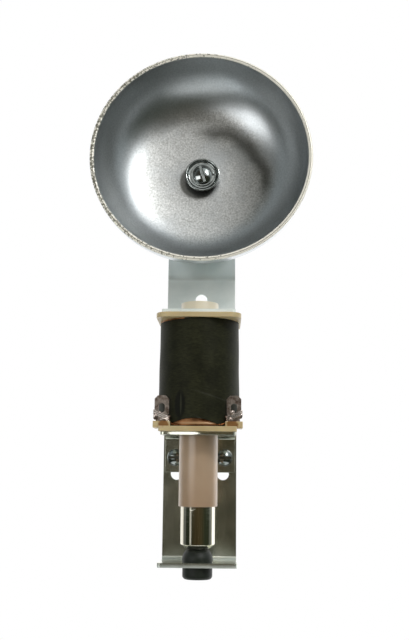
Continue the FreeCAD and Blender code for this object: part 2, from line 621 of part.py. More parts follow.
def plunger_body():
    """Turned steel slug with a tapered nose below and a blind hole for the striker above."""
    hole_radius = STRIKER_STEM_RADIUS + SEAT_GAP
    hole_bottom = PLUNGER_LENGTH - STRIKER_STEM_LENGTH - SEAT_GAP
    profile = [
        (0, 0),
        (PLUNGER_RADIUS - PLUNGER_NOSE_WIDTH, 0),
        (PLUNGER_RADIUS, PLUNGER_NOSE_HEIGHT),
        (PLUNGER_RADIUS, PLUNGER_LENGTH - PLUNGER_TOP_CHAMFER),
        (PLUNGER_RADIUS - PLUNGER_TOP_CHAMFER, PLUNGER_LENGTH),
        (hole_radius, PLUNGER_LENGTH),
        (hole_radius, hole_bottom),
        (0, hole_bottom),
    ]
    return turned_polygon(profile, V(0, AXIS_Y, PLUNGER_BOTTOM_Z))


def plunger_striker():
    """Nylon rod with a stem in the plunger and a domed tip."""
    length = STRIKER_TIP_Z - PLUNGER_TOP_Z
    stem = Part.makeCylinder(STRIKER_STEM_RADIUS, STRIKER_STEM_LENGTH, UP * -STRIKER_STEM_LENGTH)
    rod = Part.makeCylinder(STRIKER_RADIUS, length - STRIKER_DOME_RISE)
    tip = dome(STRIKER_RADIUS, STRIKER_DOME_RISE)
    tip.translate(UP * (length - STRIKER_DOME_RISE))
    striker = stem.fuse(rod).fuse(tip).removeSplitter()
    striker.translate(V(0, AXIS_Y, PLUNGER_TOP_Z))
    return striker


def rubber_bumper():
    """Moulded bumper: round-shouldered pad on the flange, neck in its hole, button below."""
    hole = BUMPER_HOLE_RADIUS
    bottom = -STRIP_THICKNESS - BUMPER_BOTTOM_HEIGHT
    round_in = BUMPER_BOTTOM_ROUND * (1 - math.sqrt(0.5))
    pad_middle = V((BUMPER_RADIUS + BUMPER_TOP_RADIUS) / 2 + BUMPER_TOP_SWELL, 0, BUMPER_TOP_HEIGHT / 2)
    button_arc = [
        V(BUMPER_RADIUS - BUMPER_BOTTOM_ROUND, 0, bottom),
        V(BUMPER_RADIUS - round_in, 0, bottom + round_in),
        V(BUMPER_RADIUS, 0, bottom + BUMPER_BOTTOM_ROUND),
    ]
    pad_arc = [V(BUMPER_RADIUS, 0, 0), pad_middle, V(BUMPER_TOP_RADIUS, 0, BUMPER_TOP_HEIGHT)]
    neck_points = [
        button_arc[2],
        V(BUMPER_RADIUS, 0, -STRIP_THICKNESS),
        V(BUMPER_NECK_RADIUS, 0, -STRIP_THICKNESS),
        V(BUMPER_NECK_RADIUS, 0, 0),
        pad_arc[0],
    ]
    bore_points = [pad_arc[2], V(hole, 0, BUMPER_TOP_HEIGHT), V(hole, 0, bottom), button_arc[0]]
    edges = [Part.Arc(*button_arc).toShape()]
    edges += Part.makePolygon(neck_points).Edges
    edges.append(Part.Arc(*pad_arc).toShape())
    edges += Part.makePolygon(bore_points).Edges
    bumper = turned(edges, ORIGIN)
    bumper.rotate(ORIGIN, RIGHT, -FOLD_ANGLE)
    bumper.translate(FLANGE_ON_AXIS)
    return bumper


# ---------------------------------------------------------------- gong and its fixing
def gong_face(inset):
    """Edges of the gong's profile from rim to hole, this far inside its outer face."""
    shoulder_centre = V(GONG_RADIUS - SHOULDER_RADIUS, 0, -GONG_LIP)
    shoulder = [shoulder_centre + V(math.sin(angle), 0, -math.cos(angle)) * (SHOULDER_RADIUS - inset)
                for angle in (math.pi / 2, (math.pi / 2 + CROWN) / 2, CROWN)]
    crown_centre = V(GONG_SEAT_RADIUS, 0, CROWN_RADIUS - GONG_DEPTH)
    crown = [crown_centre + V(math.sin(angle), 0, -math.cos(angle)) * (CROWN_RADIUS - inset)
             for angle in (CROWN, CROWN / 2, 0)]
    return [
        Part.LineSegment(V(GONG_RADIUS - inset, 0, 0), shoulder[0]).toShape(),
        Part.Arc(*shoulder).toShape(),
        Part.Arc(*crown).toShape(),
        Part.LineSegment(crown[2], V(STACK_HOLE_RADIUS, 0, crown[2].z)).toShape(),
    ]


def gong():
    """Pressed steel shell turned about its axis: lip, shoulder, shallow crown and flat seat."""
    edges = gong_face(0) + gong_face(GONG_WALL)
    edges.append(Part.LineSegment(V(GONG_RADIUS, 0, 0), V(GONG_RADIUS - GONG_WALL, 0, 0)).toShape())
    edges.append(Part.LineSegment(V(STACK_HOLE_RADIUS, 0, -GONG_DEPTH),
                                  V(STACK_HOLE_RADIUS, 0, GONG_WALL - GONG_DEPTH)).toShape())
    shell = turned(Part.__sortEdges__(edges), ORIGIN)
    rim_edges = [edge for edge in shell.Edges if abs(edge.CenterOfMass.z) < 1e-6
                 and edge.Length > math.pi * GONG_RADIUS]
    shell = shell.makeChamfer(GONG_RIM_CHAMFER, rim_edges)
    return on_gong_axis(shell, RIM_FORWARD)


def gong_rear_washer():
    washer = ring(REAR_WASHER_RADIUS, STACK_HOLE_RADIUS, REAR_WASHER_THICKNESS, ORIGIN)
    return on_gong_axis(washer, 0)


def gong_front_washer():
    washer = ring(FRONT_WASHER_RADIUS, STACK_HOLE_RADIUS, FRONT_WASHER_THICKNESS, ORIGIN)
    return on_gong_axis(washer, REAR_WASHER_THICKNESS + GONG_WALL)


def gong_cup_washer():
    """Dished steel washer with a raised rim."""
    inner_rim = CUP_WASHER_RADIUS - CUP_WASHER_RIM_WIDTH
    profile = [
        (STACK_HOLE_RADIUS, 0),
        (inner_rim, 0),
        (CUP_WASHER_RADIUS, CUP_WASHER_FLOOR),
        (CUP_WASHER_RADIUS, CUP_WASHER_RIM_HEIGHT),
        (inner_rim, CUP_WASHER_RIM_HEIGHT),
        (inner_rim - CUP_WASHER_RIM_WIDTH, CUP_WASHER_FLOOR),
        (STACK_HOLE_RADIUS, CUP_WASHER_FLOOR),
    ]
    return on_gong_axis(turned_polygon(profile, ORIGIN), FRONT_STACK)


def gong_screw_washer():
    washer = split_ring(HEAD_WASHER_RADIUS, STACK_HOLE_RADIUS,
                        HEAD_WASHER_THICKNESS, LOCK_WASHER_SPLIT, ORIGIN)
    return on_gong_axis(washer, FRONT_STACK + CUP_WASHER_FLOOR)


def gong_screw():
    length = HEAD_SEAT + STRIP_THICKNESS - SCREW_TIP_INSET
    shank = Part.makeCylinder(GONG_SCREW_RADIUS, length, UP * -length)
    head = slotted_head(GONG_HEAD_RADIUS, GONG_HEAD_HEIGHT, GONG_HEAD_DOME_RISE, GONG_SLOT_ANGLE)
    return on_gong_axis(shank.fuse(head).removeSplitter(), HEAD_SEAT)


# ---------------------------------------------------------------- nodes
def pair(make, spacing):
    """Two like fasteners, left and right of the centre line, as one group of solids."""
    return Part.makeCompound([make(-spacing / 2), make(spacing / 2)])


NODES = {
    "frame_strip": frame_strip(),
    "upper_coil_bracket": upper_coil_bracket(),
    "upper_bracket_rivets": pair(lambda x: rivet(x, 0), RIVET_SPACING),
    "lower_coil_bracket": lower_coil_bracket(),
    "lower_bracket_screws": pair(bracket_screw, SCREW_SPACING),
    "lower_bracket_lock_washers": pair(bracket_lock_washer, SCREW_SPACING),
    "coil_bobbin": coil_bobbin(),
    "coil_winding": coil_winding(),
    "coil_tape_wrap": coil_tape_wrap(),
    "solder_lug_left": solder_lug(-1),
    "solder_lug_right": solder_lug(1),
    "lead_wire_left": lead_wire(-1),
    "lead_wire_right": lead_wire(1),
    "coil_sleeve": coil_sleeve(),
    "rubber_bumper": rubber_bumper(),
    "gong": gong(),
    "gong_rear_washer": gong_rear_washer(),
    "gong_front_washer": gong_front_washer(),
    "gong_cup_washer": gong_cup_washer(),
    "gong_screw_washer": gong_screw_washer(),
    "gong_screw": gong_screw(),
    "plunger_body": plunger_body(),
    "plunger_striker": plunger_striker(),
}

os.makedirs("parts", exist_ok=True)
for name, shape in NODES.items():
    shape.exportStep("parts/" + name + ".step")
    box = shape.BoundBox
    print(f"{name:28s} solids {len(shape.Solids)} valid {shape.isValid()} volume {shape.Volume:9.1f}"
          f"  y {box.YMin:7.2f} {box.YMax:7.2f}  z {box.ZMin:7.2f} {box.ZMax:7.2f}")
print(f"plunger stroke {PLUNGER_STROKE} mm, mounting holes {MOUNT_HOLE_SPACING} mm apart")
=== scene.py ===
"""Looks for a solenoid gong unit: a steel strip with a gong, a taped coil, a plunger and a bumper.

Metres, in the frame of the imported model: X across the strip, Y to the back, Z up.
"""

import math

import bmesh
import bpy
import numpy as np
from mathutils import Matrix, Vector


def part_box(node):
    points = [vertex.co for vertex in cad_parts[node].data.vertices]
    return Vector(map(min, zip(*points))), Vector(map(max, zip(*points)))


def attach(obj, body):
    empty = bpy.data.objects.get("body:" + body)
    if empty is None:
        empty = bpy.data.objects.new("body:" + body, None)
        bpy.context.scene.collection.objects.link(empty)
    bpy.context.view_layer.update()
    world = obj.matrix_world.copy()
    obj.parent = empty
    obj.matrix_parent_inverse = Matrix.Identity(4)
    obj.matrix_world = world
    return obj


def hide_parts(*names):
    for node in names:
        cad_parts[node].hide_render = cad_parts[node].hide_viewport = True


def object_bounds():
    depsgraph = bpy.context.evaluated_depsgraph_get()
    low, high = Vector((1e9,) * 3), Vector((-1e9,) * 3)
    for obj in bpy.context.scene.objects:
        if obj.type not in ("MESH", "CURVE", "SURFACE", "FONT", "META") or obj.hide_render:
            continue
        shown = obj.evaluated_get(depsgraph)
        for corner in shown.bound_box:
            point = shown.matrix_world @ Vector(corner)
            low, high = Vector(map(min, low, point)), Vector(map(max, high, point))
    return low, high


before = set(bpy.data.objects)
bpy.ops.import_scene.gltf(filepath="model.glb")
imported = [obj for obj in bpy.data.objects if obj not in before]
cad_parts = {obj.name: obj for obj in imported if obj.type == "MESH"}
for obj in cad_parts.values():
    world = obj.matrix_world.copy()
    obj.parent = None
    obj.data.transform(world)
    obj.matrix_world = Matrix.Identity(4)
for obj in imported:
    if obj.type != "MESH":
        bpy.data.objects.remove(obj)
cad_low, cad_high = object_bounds()
MM = 0.001

# ---------------------------------------------------------------- camera
# A short telephoto view from a little below the middle of the unit, turned up towards the gong.
# The lens and the sensor are in millimetres.
CAMERA_PLACE = (9.46 * MM, -318.5 * MM, -20.27 * MM)
CAMERA_PITCH = math.radians(10.113)
CAMERA_YAW = math.radians(-1.475)
CAMERA_ROLL = math.radians(0.520)
camera_data = bpy.data.cameras.new("camera")
camera_data.sensor_width = 36
camera_data.lens = 44.57
camera_data.clip_start = 0.01
camera_data.clip_end = 20
camera = bpy.data.objects.new("camera", camera_data)
bpy.context.scene.collection.objects.link(camera)
forward = Vector((
    math.sin(CAMERA_YAW) * math.cos(CAMERA_PITCH),
    math.cos(CAMERA_YAW) * math.cos(CAMERA_PITCH),
    math.sin(CAMERA_PITCH),
))
level_right = Vector((math.cos(CAMERA_YAW), -math.sin(CAMERA_YAW), 0))
level_up = level_right.cross(forward)
camera_right = level_right * math.cos(CAMERA_ROLL) + level_up * math.sin(CAMERA_ROLL)
camera_up = level_up * math.cos(CAMERA_ROLL) - level_right * math.sin(CAMERA_ROLL)
camera.matrix_world = Matrix.Translation(CAMERA_PLACE) @ Matrix(
    (camera_right, camera_up, -forward)).transposed().to_4x4()
bpy.context.scene.camera = camera


# ---------------------------------------------------------------- studio
# White paper behind the unit and a dim room in front of it, darkest below eye level. A broad soft
# window with a brighter box and a lamp in it stands high on the right; two near cards fill from
# the left. The pale floor is a round table well below the hanging unit.
def linear(hex_colour):
    """sRGB hex colour as linear red, green, blue and a full alpha."""
    value = int(hex_colour.lstrip("#"), 16)
    channels = [(value >> shift & 255) / 255 for shift in (16, 8, 0)]
    return [c / 12.92 if c <= 0.04045 else ((c + 0.055) / 1.055) ** 2.4 for c in channels] + [1.0]


def add(tree, kind, inputs=None, stops=(), **settings):
    """Adds a node, sets and links it, and returns the first of its outputs that is in use.

    Settings are the node's own values. Inputs are values or sockets, by the name of an input in
    use or by its number. Stops are a colour ramp's (place, hex colour) pairs, in rising order.
    """
    node = tree.nodes.new(kind)
    for name, value in settings.items():
        setattr(node, name, value)
    for number, (place, colour) in enumerate(stops):
        band = node.color_ramp.elements
        if number == len(band):
            band.new(place)
        band[number].position = place
        band[number].color = linear(colour)
    in_use = {socket.name: socket for socket in node.inputs if socket.enabled}
    for key, value in (inputs or {}).items():
        socket = node.inputs[key] if isinstance(key, int) else in_use[key]
        if isinstance(value, bpy.types.NodeSocket):
            tree.links.new(value, socket)
        else:
            socket.default_value = value
    return next((socket for socket in node.outputs if socket.enabled), None)


world = bpy.data.worlds.new("tent")
bpy.context.scene.world = world
world.use_nodes = True
sky = world.node_tree
sky.nodes.clear()
direction = add(sky, "ShaderNodeTexCoord").node.outputs["Generated"]
axes = add(sky, "ShaderNodeSeparateXYZ", {"Vector": direction}).node.outputs
# The room's colours run from straight in front of the unit, 0, round to its two sides, 1.
around = add(sky, "ShaderNodeMapRange", {"Value": axes["Y"], "From Min": -1.0, "From Max": 0.0})
upper_room = add(sky, "ShaderNodeValToRGB", {"Fac": around}, stops=[
    (0.0, "#4e4a3e"), (0.35, "#52524b"), (0.75, "#a6aeb0"), (1.0, "#bac0c2")])
lower_room = add(sky, "ShaderNodeValToRGB", {"Fac": around}, stops=[
    (0.0, "#423a28"), (0.35, "#2c3125"), (0.8, "#2a2f24"), (1.0, "#6d716e")])
eye_level = add(sky, "ShaderNodeMapRange", {
    "Value": axes["Z"], "From Min": -0.12, "From Max": 0.06}, interpolation_type="SMOOTHSTEP")
room = add(sky, "ShaderNodeMix", {"Factor": eye_level, "A": lower_room, "B": upper_room},
           data_type="RGBA")
# The paper starts a little behind the unit's sides and is the brighter of the two. Everything
# brightens towards the right.
behind = add(sky, "ShaderNodeMapRange", {
    "Value": axes["Y"], "From Min": 0.27, "From Max": 0.37}, interpolation_type="SMOOTHSTEP")
tent = add(sky, "ShaderNodeMix", {"Factor": behind, "A": room, "B": linear("#ffffff")},
           data_type="RGBA")
paper_power = add(sky, "ShaderNodeMapRange", {"Value": behind, "To Min": 1.0, "To Max": 1.25})
side_power = add(sky, "ShaderNodeMapRange", {
    "Value": axes["X"], "From Min": -1.0, "From Max": 1.0, "To Min": 0.88, "To Max": 1.32})
power = add(sky, "ShaderNodeMath", {0: paper_power, 1: side_power}, operation="MULTIPLY")
glow = add(sky, "ShaderNodeBackground", {"Color": tent, "Strength": power})
paper = add(sky, "ShaderNodeBackground", {"Color": linear("#ffffff"), "Strength": 1.0})
straight_seen = add(sky, "ShaderNodeLightPath").node.outputs["Is Camera Ray"]
seen = add(sky, "ShaderNodeMixShader", {"Fac": straight_seen, 1: glow, 2: paper})
add(sky, "ShaderNodeOutputWorld", {"Surface": seen})

# Each light's direction and distance from the unit's middle, its width and height, and its watts.
LIGHTS = {
    "window": ((0.290, -0.747, 0.630), 1.03, 0.96, 1.14, 2.45),
    "key soft box": ((0.575, -0.665, 0.575), 1.03, 0.33, 0.86, 1.9),
    "lamp": ((0.481, -0.746, 0.589), 1.03, 0.12, 0.12, 2.6),
    "low left card": ((-0.209, -0.270, -0.021), 0.342, 0.230, 0.150, 0.28),
    "slim card": ((-0.220, -0.205, -0.094), 0.315, 0.060, 0.110, 0.012),
}
unit_middle = (cad_low + cad_high) / 2
for name, (towards, distance, width, tall, watts) in LIGHTS.items():
    light_data = bpy.data.lights.new(name, "AREA")
    light_data.shape = "RECTANGLE"
    light_data.size = width
    light_data.size_y = tall
    light_data.energy = watts
    light = bpy.data.objects.new(name, light_data)
    bpy.context.scene.collection.objects.link(light)
    light.location = unit_middle + Vector(towards).normalized() * distance
    light.rotation_mode = "QUATERNION"
    light.rotation_quaternion = (light.location - unit_middle).to_track_quat("Z", "Y")

FLOOR_RADIUS = 0.3
FLOOR_DROP = 0.24
FLOOR_SIDES = 96
floor_turns = np.linspace(0, 2 * math.pi, FLOOR_SIDES, endpoint=False)
floor_rim = FLOOR_RADIUS * np.stack([
    np.cos(floor_turns), np.sin(floor_turns), np.zeros(FLOOR_SIDES)], -1)
floor_mesh = bpy.data.meshes.new("floor")
floor_mesh.from_pydata((floor_rim + [0, 0, cad_low.z - FLOOR_DROP]).tolist(), [],
                       [list(range(FLOOR_SIDES))])
floor = bpy.data.objects.new("floor", floor_mesh)
bpy.context.scene.collection.objects.link(floor)
# Matt paper: pale and even, with no shine.
floor_paper = bpy.data.materials.new("matt paper floor")
floor_paper.use_nodes = True
floor_surface = floor_paper.node_tree.nodes["Principled BSDF"].inputs
floor_surface["Base Color"].default_value = linear("#f2f2f0")
floor_surface["Roughness"].default_value = 0.8
floor_mesh.materials.append(floor_paper)
bpy.context.scene.view_settings.view_transform = "Standard"


# ---------------------------------------------------------------- folded strip
# Cold-rolled steel strip and two brackets of the same, sheared, pierced and folded, then dull zinc
# plated, and joined by rivets behind the coil and screws below it. The panel that it was fixed to
# has scuffed the back, and the shear has rolled the lower bracket's front edge.
def start_material(name):
    """New material with an empty tree, and the piece's own coordinates to place patterns by."""
    material = bpy.data.materials.new(name)
    material.use_nodes = True
    tree = material.node_tree
    tree.nodes.clear()
    return material, tree, add(tree, "ShaderNodeTexCoord").node.outputs["Object"]


def finish_material(tree, surface):
    """Ends a material with its shader, which takes the values and sockets of the surface."""
    shader = add(tree, "ShaderNodeBsdfPrincipled", surface)
    add(tree, "ShaderNodeOutputMaterial", {"Surface": shader})


def eased_copy(node, name, ease):
    """Copy of a metal node with its flat faces whole again and its sheared edges eased.

    Corners within a thousandth of a millimetre are merged, and faces within half a degree joined.
    Edges over 50 degrees get a small bevel, and those over 30 degrees stay crisp.
    """
    shape = bmesh.new()
    shape.from_mesh(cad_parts[node].data)
    bmesh.ops.remove_doubles(shape, verts=shape.verts, dist=MM * 0.001)
    bmesh.ops.dissolve_limit(shape, angle_limit=math.radians(0.5), verts=shape.verts,
                             edges=shape.edges)
    mesh = bpy.data.meshes.new(name)
    shape.to_mesh(mesh)
    shape.free()
    copy = bpy.data.objects.new(name, mesh)
    bpy.context.scene.collection.objects.link(copy)
    mesh.shade_smooth()
    mesh.set_sharp_from_angle(angle=math.radians(30))
    bevel = copy.modifiers.new("eased edges", "BEVEL")
    bevel.width = ease
    bevel.segments = 2
    bevel.limit_method = "ANGLE"
    bevel.angle_limit = math.radians(50)
    bevel.harden_normals = True
    return copy


def coat(piece, material):
    """Gives a piece its only material."""
    piece.data.materials.clear()
    piece.data.materials.append(material)


def install(piece, material, slot, body, *nodes):
    """Gives a piece its material and body, and hides the nodes that it stands for. The slot is not
    used.
    """
    coat(piece, material)
    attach(piece, body)
    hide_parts(*nodes)


# Dull zinc plate: a soft grey sheen, streaked up the strip by the rolling grain, with clouds left
# by handling. The real grain is a few hundredths of a millimetre wide; at a ninth it just shows.
GRAIN_WIDTH = 0.111111 * MM
GRAIN_LENGTH = 3.84615 * MM
CLOUD_SIZE = 11.7647 * MM
zinc_strip, tree, place = start_material("dull zinc plated strip")
grain_place = add(tree, "ShaderNodeMapping", {
    "Vector": place, "Scale": (1 / GRAIN_WIDTH, 1 / GRAIN_WIDTH, 1 / GRAIN_LENGTH)})
grain = add(tree, "ShaderNodeTexNoise", {"Vector": grain_place, "Scale": 1, "Detail": 3})
cloud = add(tree, "ShaderNodeTexNoise", {
    "Vector": place, "Scale": 1 / CLOUD_SIZE, "Detail": 5, "Roughness": 0.6})
zinc = add(tree, "ShaderNodeValToRGB", {"Fac": cloud},
           stops=[(0.30, "#e2ecea"), (0.70, "#f8fefb")])
# The second, darker ramp is painted shade.
painted_shade_plate = add(tree, "ShaderNodeValToRGB", {"Fac": cloud},
           stops=[(0.30, "#a3a697"), (0.70, "#dfe1d4")])

# The plate is painted darker behind and below the coil, as shade, but less on the flange at the
# foot.
# Out of that painted shade, a pale bloom hides most of the metal, and less of it above the bend.
BEND_HEIGHT = 52.5 * MM
axes = add(tree, "ShaderNodeSeparateXYZ", {"Vector": place}).node.outputs
above_coil = add(tree, "ShaderNodeMapRange", {
    "Value": axes["Z"], "From Min": 0.0, "From Max": 35 * MM}, interpolation_type="SMOOTHSTEP")
on_flange = add(tree, "ShaderNodeMapRange", {
    "Value": axes["Z"], "From Min": -56.0 * MM, "From Max": -57.3 * MM, "To Max": 0.6})
out_of_painted_shade = add(tree, "ShaderNodeMath", {0: above_coil, 1: on_flange}, operation="MAXIMUM")
plated = add(tree, "ShaderNodeMix", {"Factor": out_of_painted_shade, "A": painted_shade_plate, "B": zinc}, data_type="RGBA")
through_bloom = add(tree, "ShaderNodeMapRange", {"Value": out_of_painted_shade, "To Min": 1.0, "To Max": 0.12})
above_bend = add(tree, "ShaderNodeMapRange", {
    "Value": axes["Z"], "From Min": BEND_HEIGHT, "From Max": BEND_HEIGHT + MM, "To Max": 0.45})
bare_metal = add(tree, "ShaderNodeMath", {0: through_bloom, 1: above_bend}, operation="ADD")
facing = add(tree, "ShaderNodeNewGeometry").node.outputs["Normal"]
to_panel = add(tree, "ShaderNodeVectorMath", {0: facing, 1: (0, 1, 0)},
               operation="DOT_PRODUCT")
panel_side = add(tree, "ShaderNodeMapRange", {
    "Value": to_panel, "From Min": 0.5, "From Max": 0.9, "To Max": 0.55})
scuffed = add(tree, "ShaderNodeMix", {
    "Factor": panel_side, "A": plated, "B": linear("#7f847f")}, data_type="RGBA")
dull = add(tree, "ShaderNodeMapRange", {"Value": grain, "To Min": 0.16, "To Max": 0.30})

# The lower bracket's rolled front edge leans to the left along a short stretch, which fades in and
# out across it and away from its middle line, so that it catches a lens of light.
BRACKET_FRONT = -30.0 * MM
BRACKET_MIDDLE = -10.35 * MM
ROLLED_LEAN = -0.42
on_front = add(tree, "ShaderNodeMapRange", {
    "Value": axes["Y"], "From Min": BRACKET_FRONT, "From Max": BRACKET_FRONT - 0.2 * MM})
rolled_from = add(tree, "ShaderNodeMapRange", {
    "Value": axes["X"], "From Min": -12.0 * MM, "From Max": -7.0 * MM},
    interpolation_type="SMOOTHSTEP")
rolled_to = add(tree, "ShaderNodeMapRange", {
    "Value": axes["X"], "From Min": -3.0 * MM, "From Max": 3.0 * MM,
    "To Min": 1.0, "To Max": 0.0}, interpolation_type="SMOOTHSTEP")
over_middle = add(tree, "ShaderNodeMath", {0: axes["Z"], 1: BRACKET_MIDDLE},
                  operation="SUBTRACT")
off_middle = add(tree, "ShaderNodeMath", {0: over_middle}, operation="ABSOLUTE")
near_middle = add(tree, "ShaderNodeMapRange", {
    "Value": off_middle, "From Min": 0.05 * MM, "From Max": 0.75 * MM,
    "To Min": 1.0, "To Max": 0.0})
lean = ROLLED_LEAN
for share in (rolled_from, rolled_to, near_middle, on_front):
    lean = add(tree, "ShaderNodeMath", {0: share, 1: lean}, operation="MULTIPLY")
rolled = add(tree, "ShaderNodeCombineXYZ", {"X": lean})
leaned = add(tree, "ShaderNodeVectorMath", {0: facing, 1: rolled}, operation="ADD")
relief = add(tree, "ShaderNodeBump", {
    "Height": grain, "Strength": 0.12, "Distance": 0.02 * MM, "Normal": leaned})
finish_material(tree, {"Base Color": scuffed, "Metallic": bare_metal, "Roughness": dull,
                       "Normal": relief})

SHEARED_EDGE = 0.12 * MM
for node, name in (("frame_strip", "folded_strip"), ("upper_coil_bracket", "upper_bracket"),
                   ("lower_coil_bracket", "lower_bracket")):
    install(eased_copy(node, name, SHEARED_EDGE), zinc_strip, "strip_steel", "frame", node)


# ---------------------------------------------------------------- gong
# Pressed from one disc of steel and satin zinc plated: flat seat, shallow crown, round shoulder.
# The cut lip is left rough, with a painted line of groove shade round it. Inside, a dark crescent
# of reflection and the washer's shadow are painted on the crown.
GONG_LEAN = math.radians(3.0)
GONG_DEPTH = 26.0 * MM
GONG_WALL = 1.7 * MM
GONG_LIP = 0.5 * MM
GONG_SEAT = 8.2 * MM
GONG_HOLE = 2.25 * MM
CROWN_ANGLE = math.radians(12.0)
gong_low, gong_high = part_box("gong")
gong_radius = (gong_high[0] - gong_low[0]) / 2
rim_centre = Vector((
    0,
    gong_low[1] + gong_radius * math.sin(GONG_LEAN),
    (gong_low[2] + gong_high[2]) / 2,
))
gong_forward = Vector((0, -math.cos(GONG_LEAN), math.sin(GONG_LEAN)))
gong_up = Vector((0, math.sin(GONG_LEAN), math.cos(GONG_LEAN)))


def turned(profile, segments):
    """Grid of points: each (radius, height) of the profile carried once around the Z axis."""
    angle = np.linspace(0, 2 * math.pi, segments, endpoint=False)
    radius, height = np.asarray(profile).T
    return np.stack([
        radius[:, None] * np.cos(angle),
        radius[:, None] * np.sin(angle),
        np.repeat(height[:, None], segments, 1),
    ], -1)


def softened(corners, reach):
    """Closed outline with each corner turned into a short parabola that starts `reach` from it."""
    corner = np.asarray(corners, float)
    share = np.broadcast_to(reach, len(corner))[:, None]
    back = np.roll(corner, 1, 0) - corner
    ahead = np.roll(corner, -1, 0) - corner
    start = corner + back / np.linalg.norm(back, axis=1, keepdims=True) * share
    end = corner + ahead / np.linalg.norm(ahead, axis=1, keepdims=True) * share
    t = np.linspace(0, 1, 6)[None, :, None]
    curve = ((1 - t) ** 2 * start[:, None] + 2 * t * (1 - t) * corner[:, None]
             + t ** 2 * end[:, None])
    return curve.reshape(-1, 2)


def skin(name, grid, close_rows=True, crease=35):
    """Mesh piece from a grid of points, one quad to a cell, closed round each row.

    The last row joins the first, or else the first and last are poles. Points within half a
    thousandth of a millimetre are merged, and edges over `crease` degrees stay crisp.
    """
    rows, columns = grid.shape[:2]
    row, column = np.meshgrid(np.arange(rows if close_rows else rows - 1), np.arange(columns),
                              indexing="ij")
    next_row, next_column = (row + 1) % rows, (column + 1) % columns
    quads = np.stack([row * columns + column, row * columns + next_column,
                      next_row * columns + next_column, next_row * columns + column], -1)
    mesh = bpy.data.meshes.new(name)
    mesh.from_pydata(grid.reshape(-1, 3).tolist(), [], quads.reshape(-1, 4).tolist())
    shape = bmesh.new()
    shape.from_mesh(mesh)
    bmesh.ops.remove_doubles(shape, verts=shape.verts, dist=MM * 0.0005)
    bmesh.ops.recalc_face_normals(shape, faces=shape.faces)
    shape.to_mesh(mesh)
    shape.free()
    mesh.shade_smooth()
    mesh.set_sharp_from_angle(angle=math.radians(crease))
    piece = bpy.data.objects.new(name, mesh)
    bpy.context.scene.collection.objects.link(piece)
    return piece


def on_gong_axis(grid, centre):
    """Turns a grid built along Z so that Z points out of the gong's mouth, at a centre."""
    turn = np.array([(1, 0, 0), gong_up, gong_forward])
    return grid @ turn + np.array(centre)


def bowl(inset):
    """Gong's face from seat to lip: a crown arc and a shoulder arc, both moved in by the inset.

    Crown: (seat + C sin a, C - depth - C cos a). Shoulder: (radius - S + S sin a, -lip - S cos a).
    C and S, the radii of the two arcs, are those that meet at the crown angle and end at the lip.
    """
    sine, cosine = math.sin(CROWN_ANGLE), math.cos(CROWN_ANGLE)
    reach = gong_radius - GONG_SEAT
    crown = (reach * cosine - (GONG_DEPTH - GONG_LIP) * (1 - sine)) / (sine + cosine - 1)
    shoulder = (reach - crown * sine) / (1 - sine)
    near = np.linspace(0, CROWN_ANGLE, 24)
    far = np.linspace(CROWN_ANGLE, math.pi / 2, 48)[1:]
    crown_arc = np.stack([GONG_SEAT + (crown - inset) * np.sin(near),
                          crown - GONG_DEPTH - (crown - inset) * np.cos(near)], -1)
    shoulder_arc = np.stack([gong_radius - shoulder + (shoulder - inset) * np.sin(far),
                             -GONG_LIP - (shoulder - inset) * np.cos(far)], -1)
    return np.concatenate([crown_arc, shoulder_arc])


def off_axis(tree, from_rim, centre):
    """Distance from a line along the gong's axis: the length of axis x (place - centre)."""
    offset = add(tree, "ShaderNodeVectorMath", {0: from_rim, 1: centre}, operation="SUBTRACT")
    lever = add(tree, "ShaderNodeVectorMath", {0: tuple(gong_forward), 1: offset},
                operation="CROSS_PRODUCT")
    return add(tree, "ShaderNodeVectorMath", {0: lever}, operation="LENGTH")


lip_turn = np.linspace(0, math.pi, 12)[1:-1]
lip = np.stack([gong_radius - GONG_WALL / 2 + np.cos(lip_turn) * GONG_WALL / 2,
                np.sin(lip_turn) * GONG_LIP - GONG_LIP], -1)
gong_profile = np.concatenate([
    [(GONG_HOLE, -GONG_DEPTH)], bowl(0), lip, bowl(GONG_WALL)[::-1],
    [(GONG_HOLE, GONG_WALL - GONG_DEPTH)],
])

# Satin plate: a soft grey mirror with a fine mottle, hazier in patches of about 14 mm. The real
# grit is under a tenth of a millimetre; the mottle is drawn at two thirds, so that it shows.
MOTTLE_SIZE = 0.666667 * MM
HAZE_SIZE = 14.2857 * MM
gong_plate, tree, place = start_material("satin plated gong")
mottle = add(tree, "ShaderNodeTexNoise", {
    "Vector": place, "Scale": 1 / MOTTLE_SIZE, "Detail": 6, "Roughness": 0.6})
haze = add(tree, "ShaderNodeTexNoise", {"Vector": place, "Scale": 1 / HAZE_SIZE, "Detail": 4})
smooth_plate = add(tree, "ShaderNodeValToRGB", {"Fac": mottle},
                   stops=[(0.25, "#b2b7b9"), (0.75, "#d1d5d7")])

# The bottom of the bowl is rubbed by cleaning, which brings the mottle out.
rubbed_plate = add(tree, "ShaderNodeValToRGB", {"Fac": mottle},
                   stops=[(0.30, "#a0a09c"), (0.50, "#c6c8c7"), (0.70, "#e6e7e5")])
from_rim = add(tree, "ShaderNodeVectorMath", {0: place, 1: tuple(rim_centre)},
               operation="SUBTRACT")
depth = add(tree, "ShaderNodeVectorMath", {0: from_rim, 1: tuple(gong_forward)},
            operation="DOT_PRODUCT")
bottom = add(tree, "ShaderNodeMapRange", {
    "Value": depth, "From Min": -17 * MM, "From Max": -23 * MM},
    interpolation_type="SMOOTHSTEP")
handled = add(tree, "ShaderNodeMath", {0: haze, 1: bottom}, operation="MULTIPLY")
rubbed = add(tree, "ShaderNodeMapRange", {"Value": handled, "From Min": 0.25, "From Max": 0.55})
face = add(tree, "ShaderNodeMix", {"Factor": rubbed, "A": smooth_plate, "B": rubbed_plate},
           data_type="RGBA")
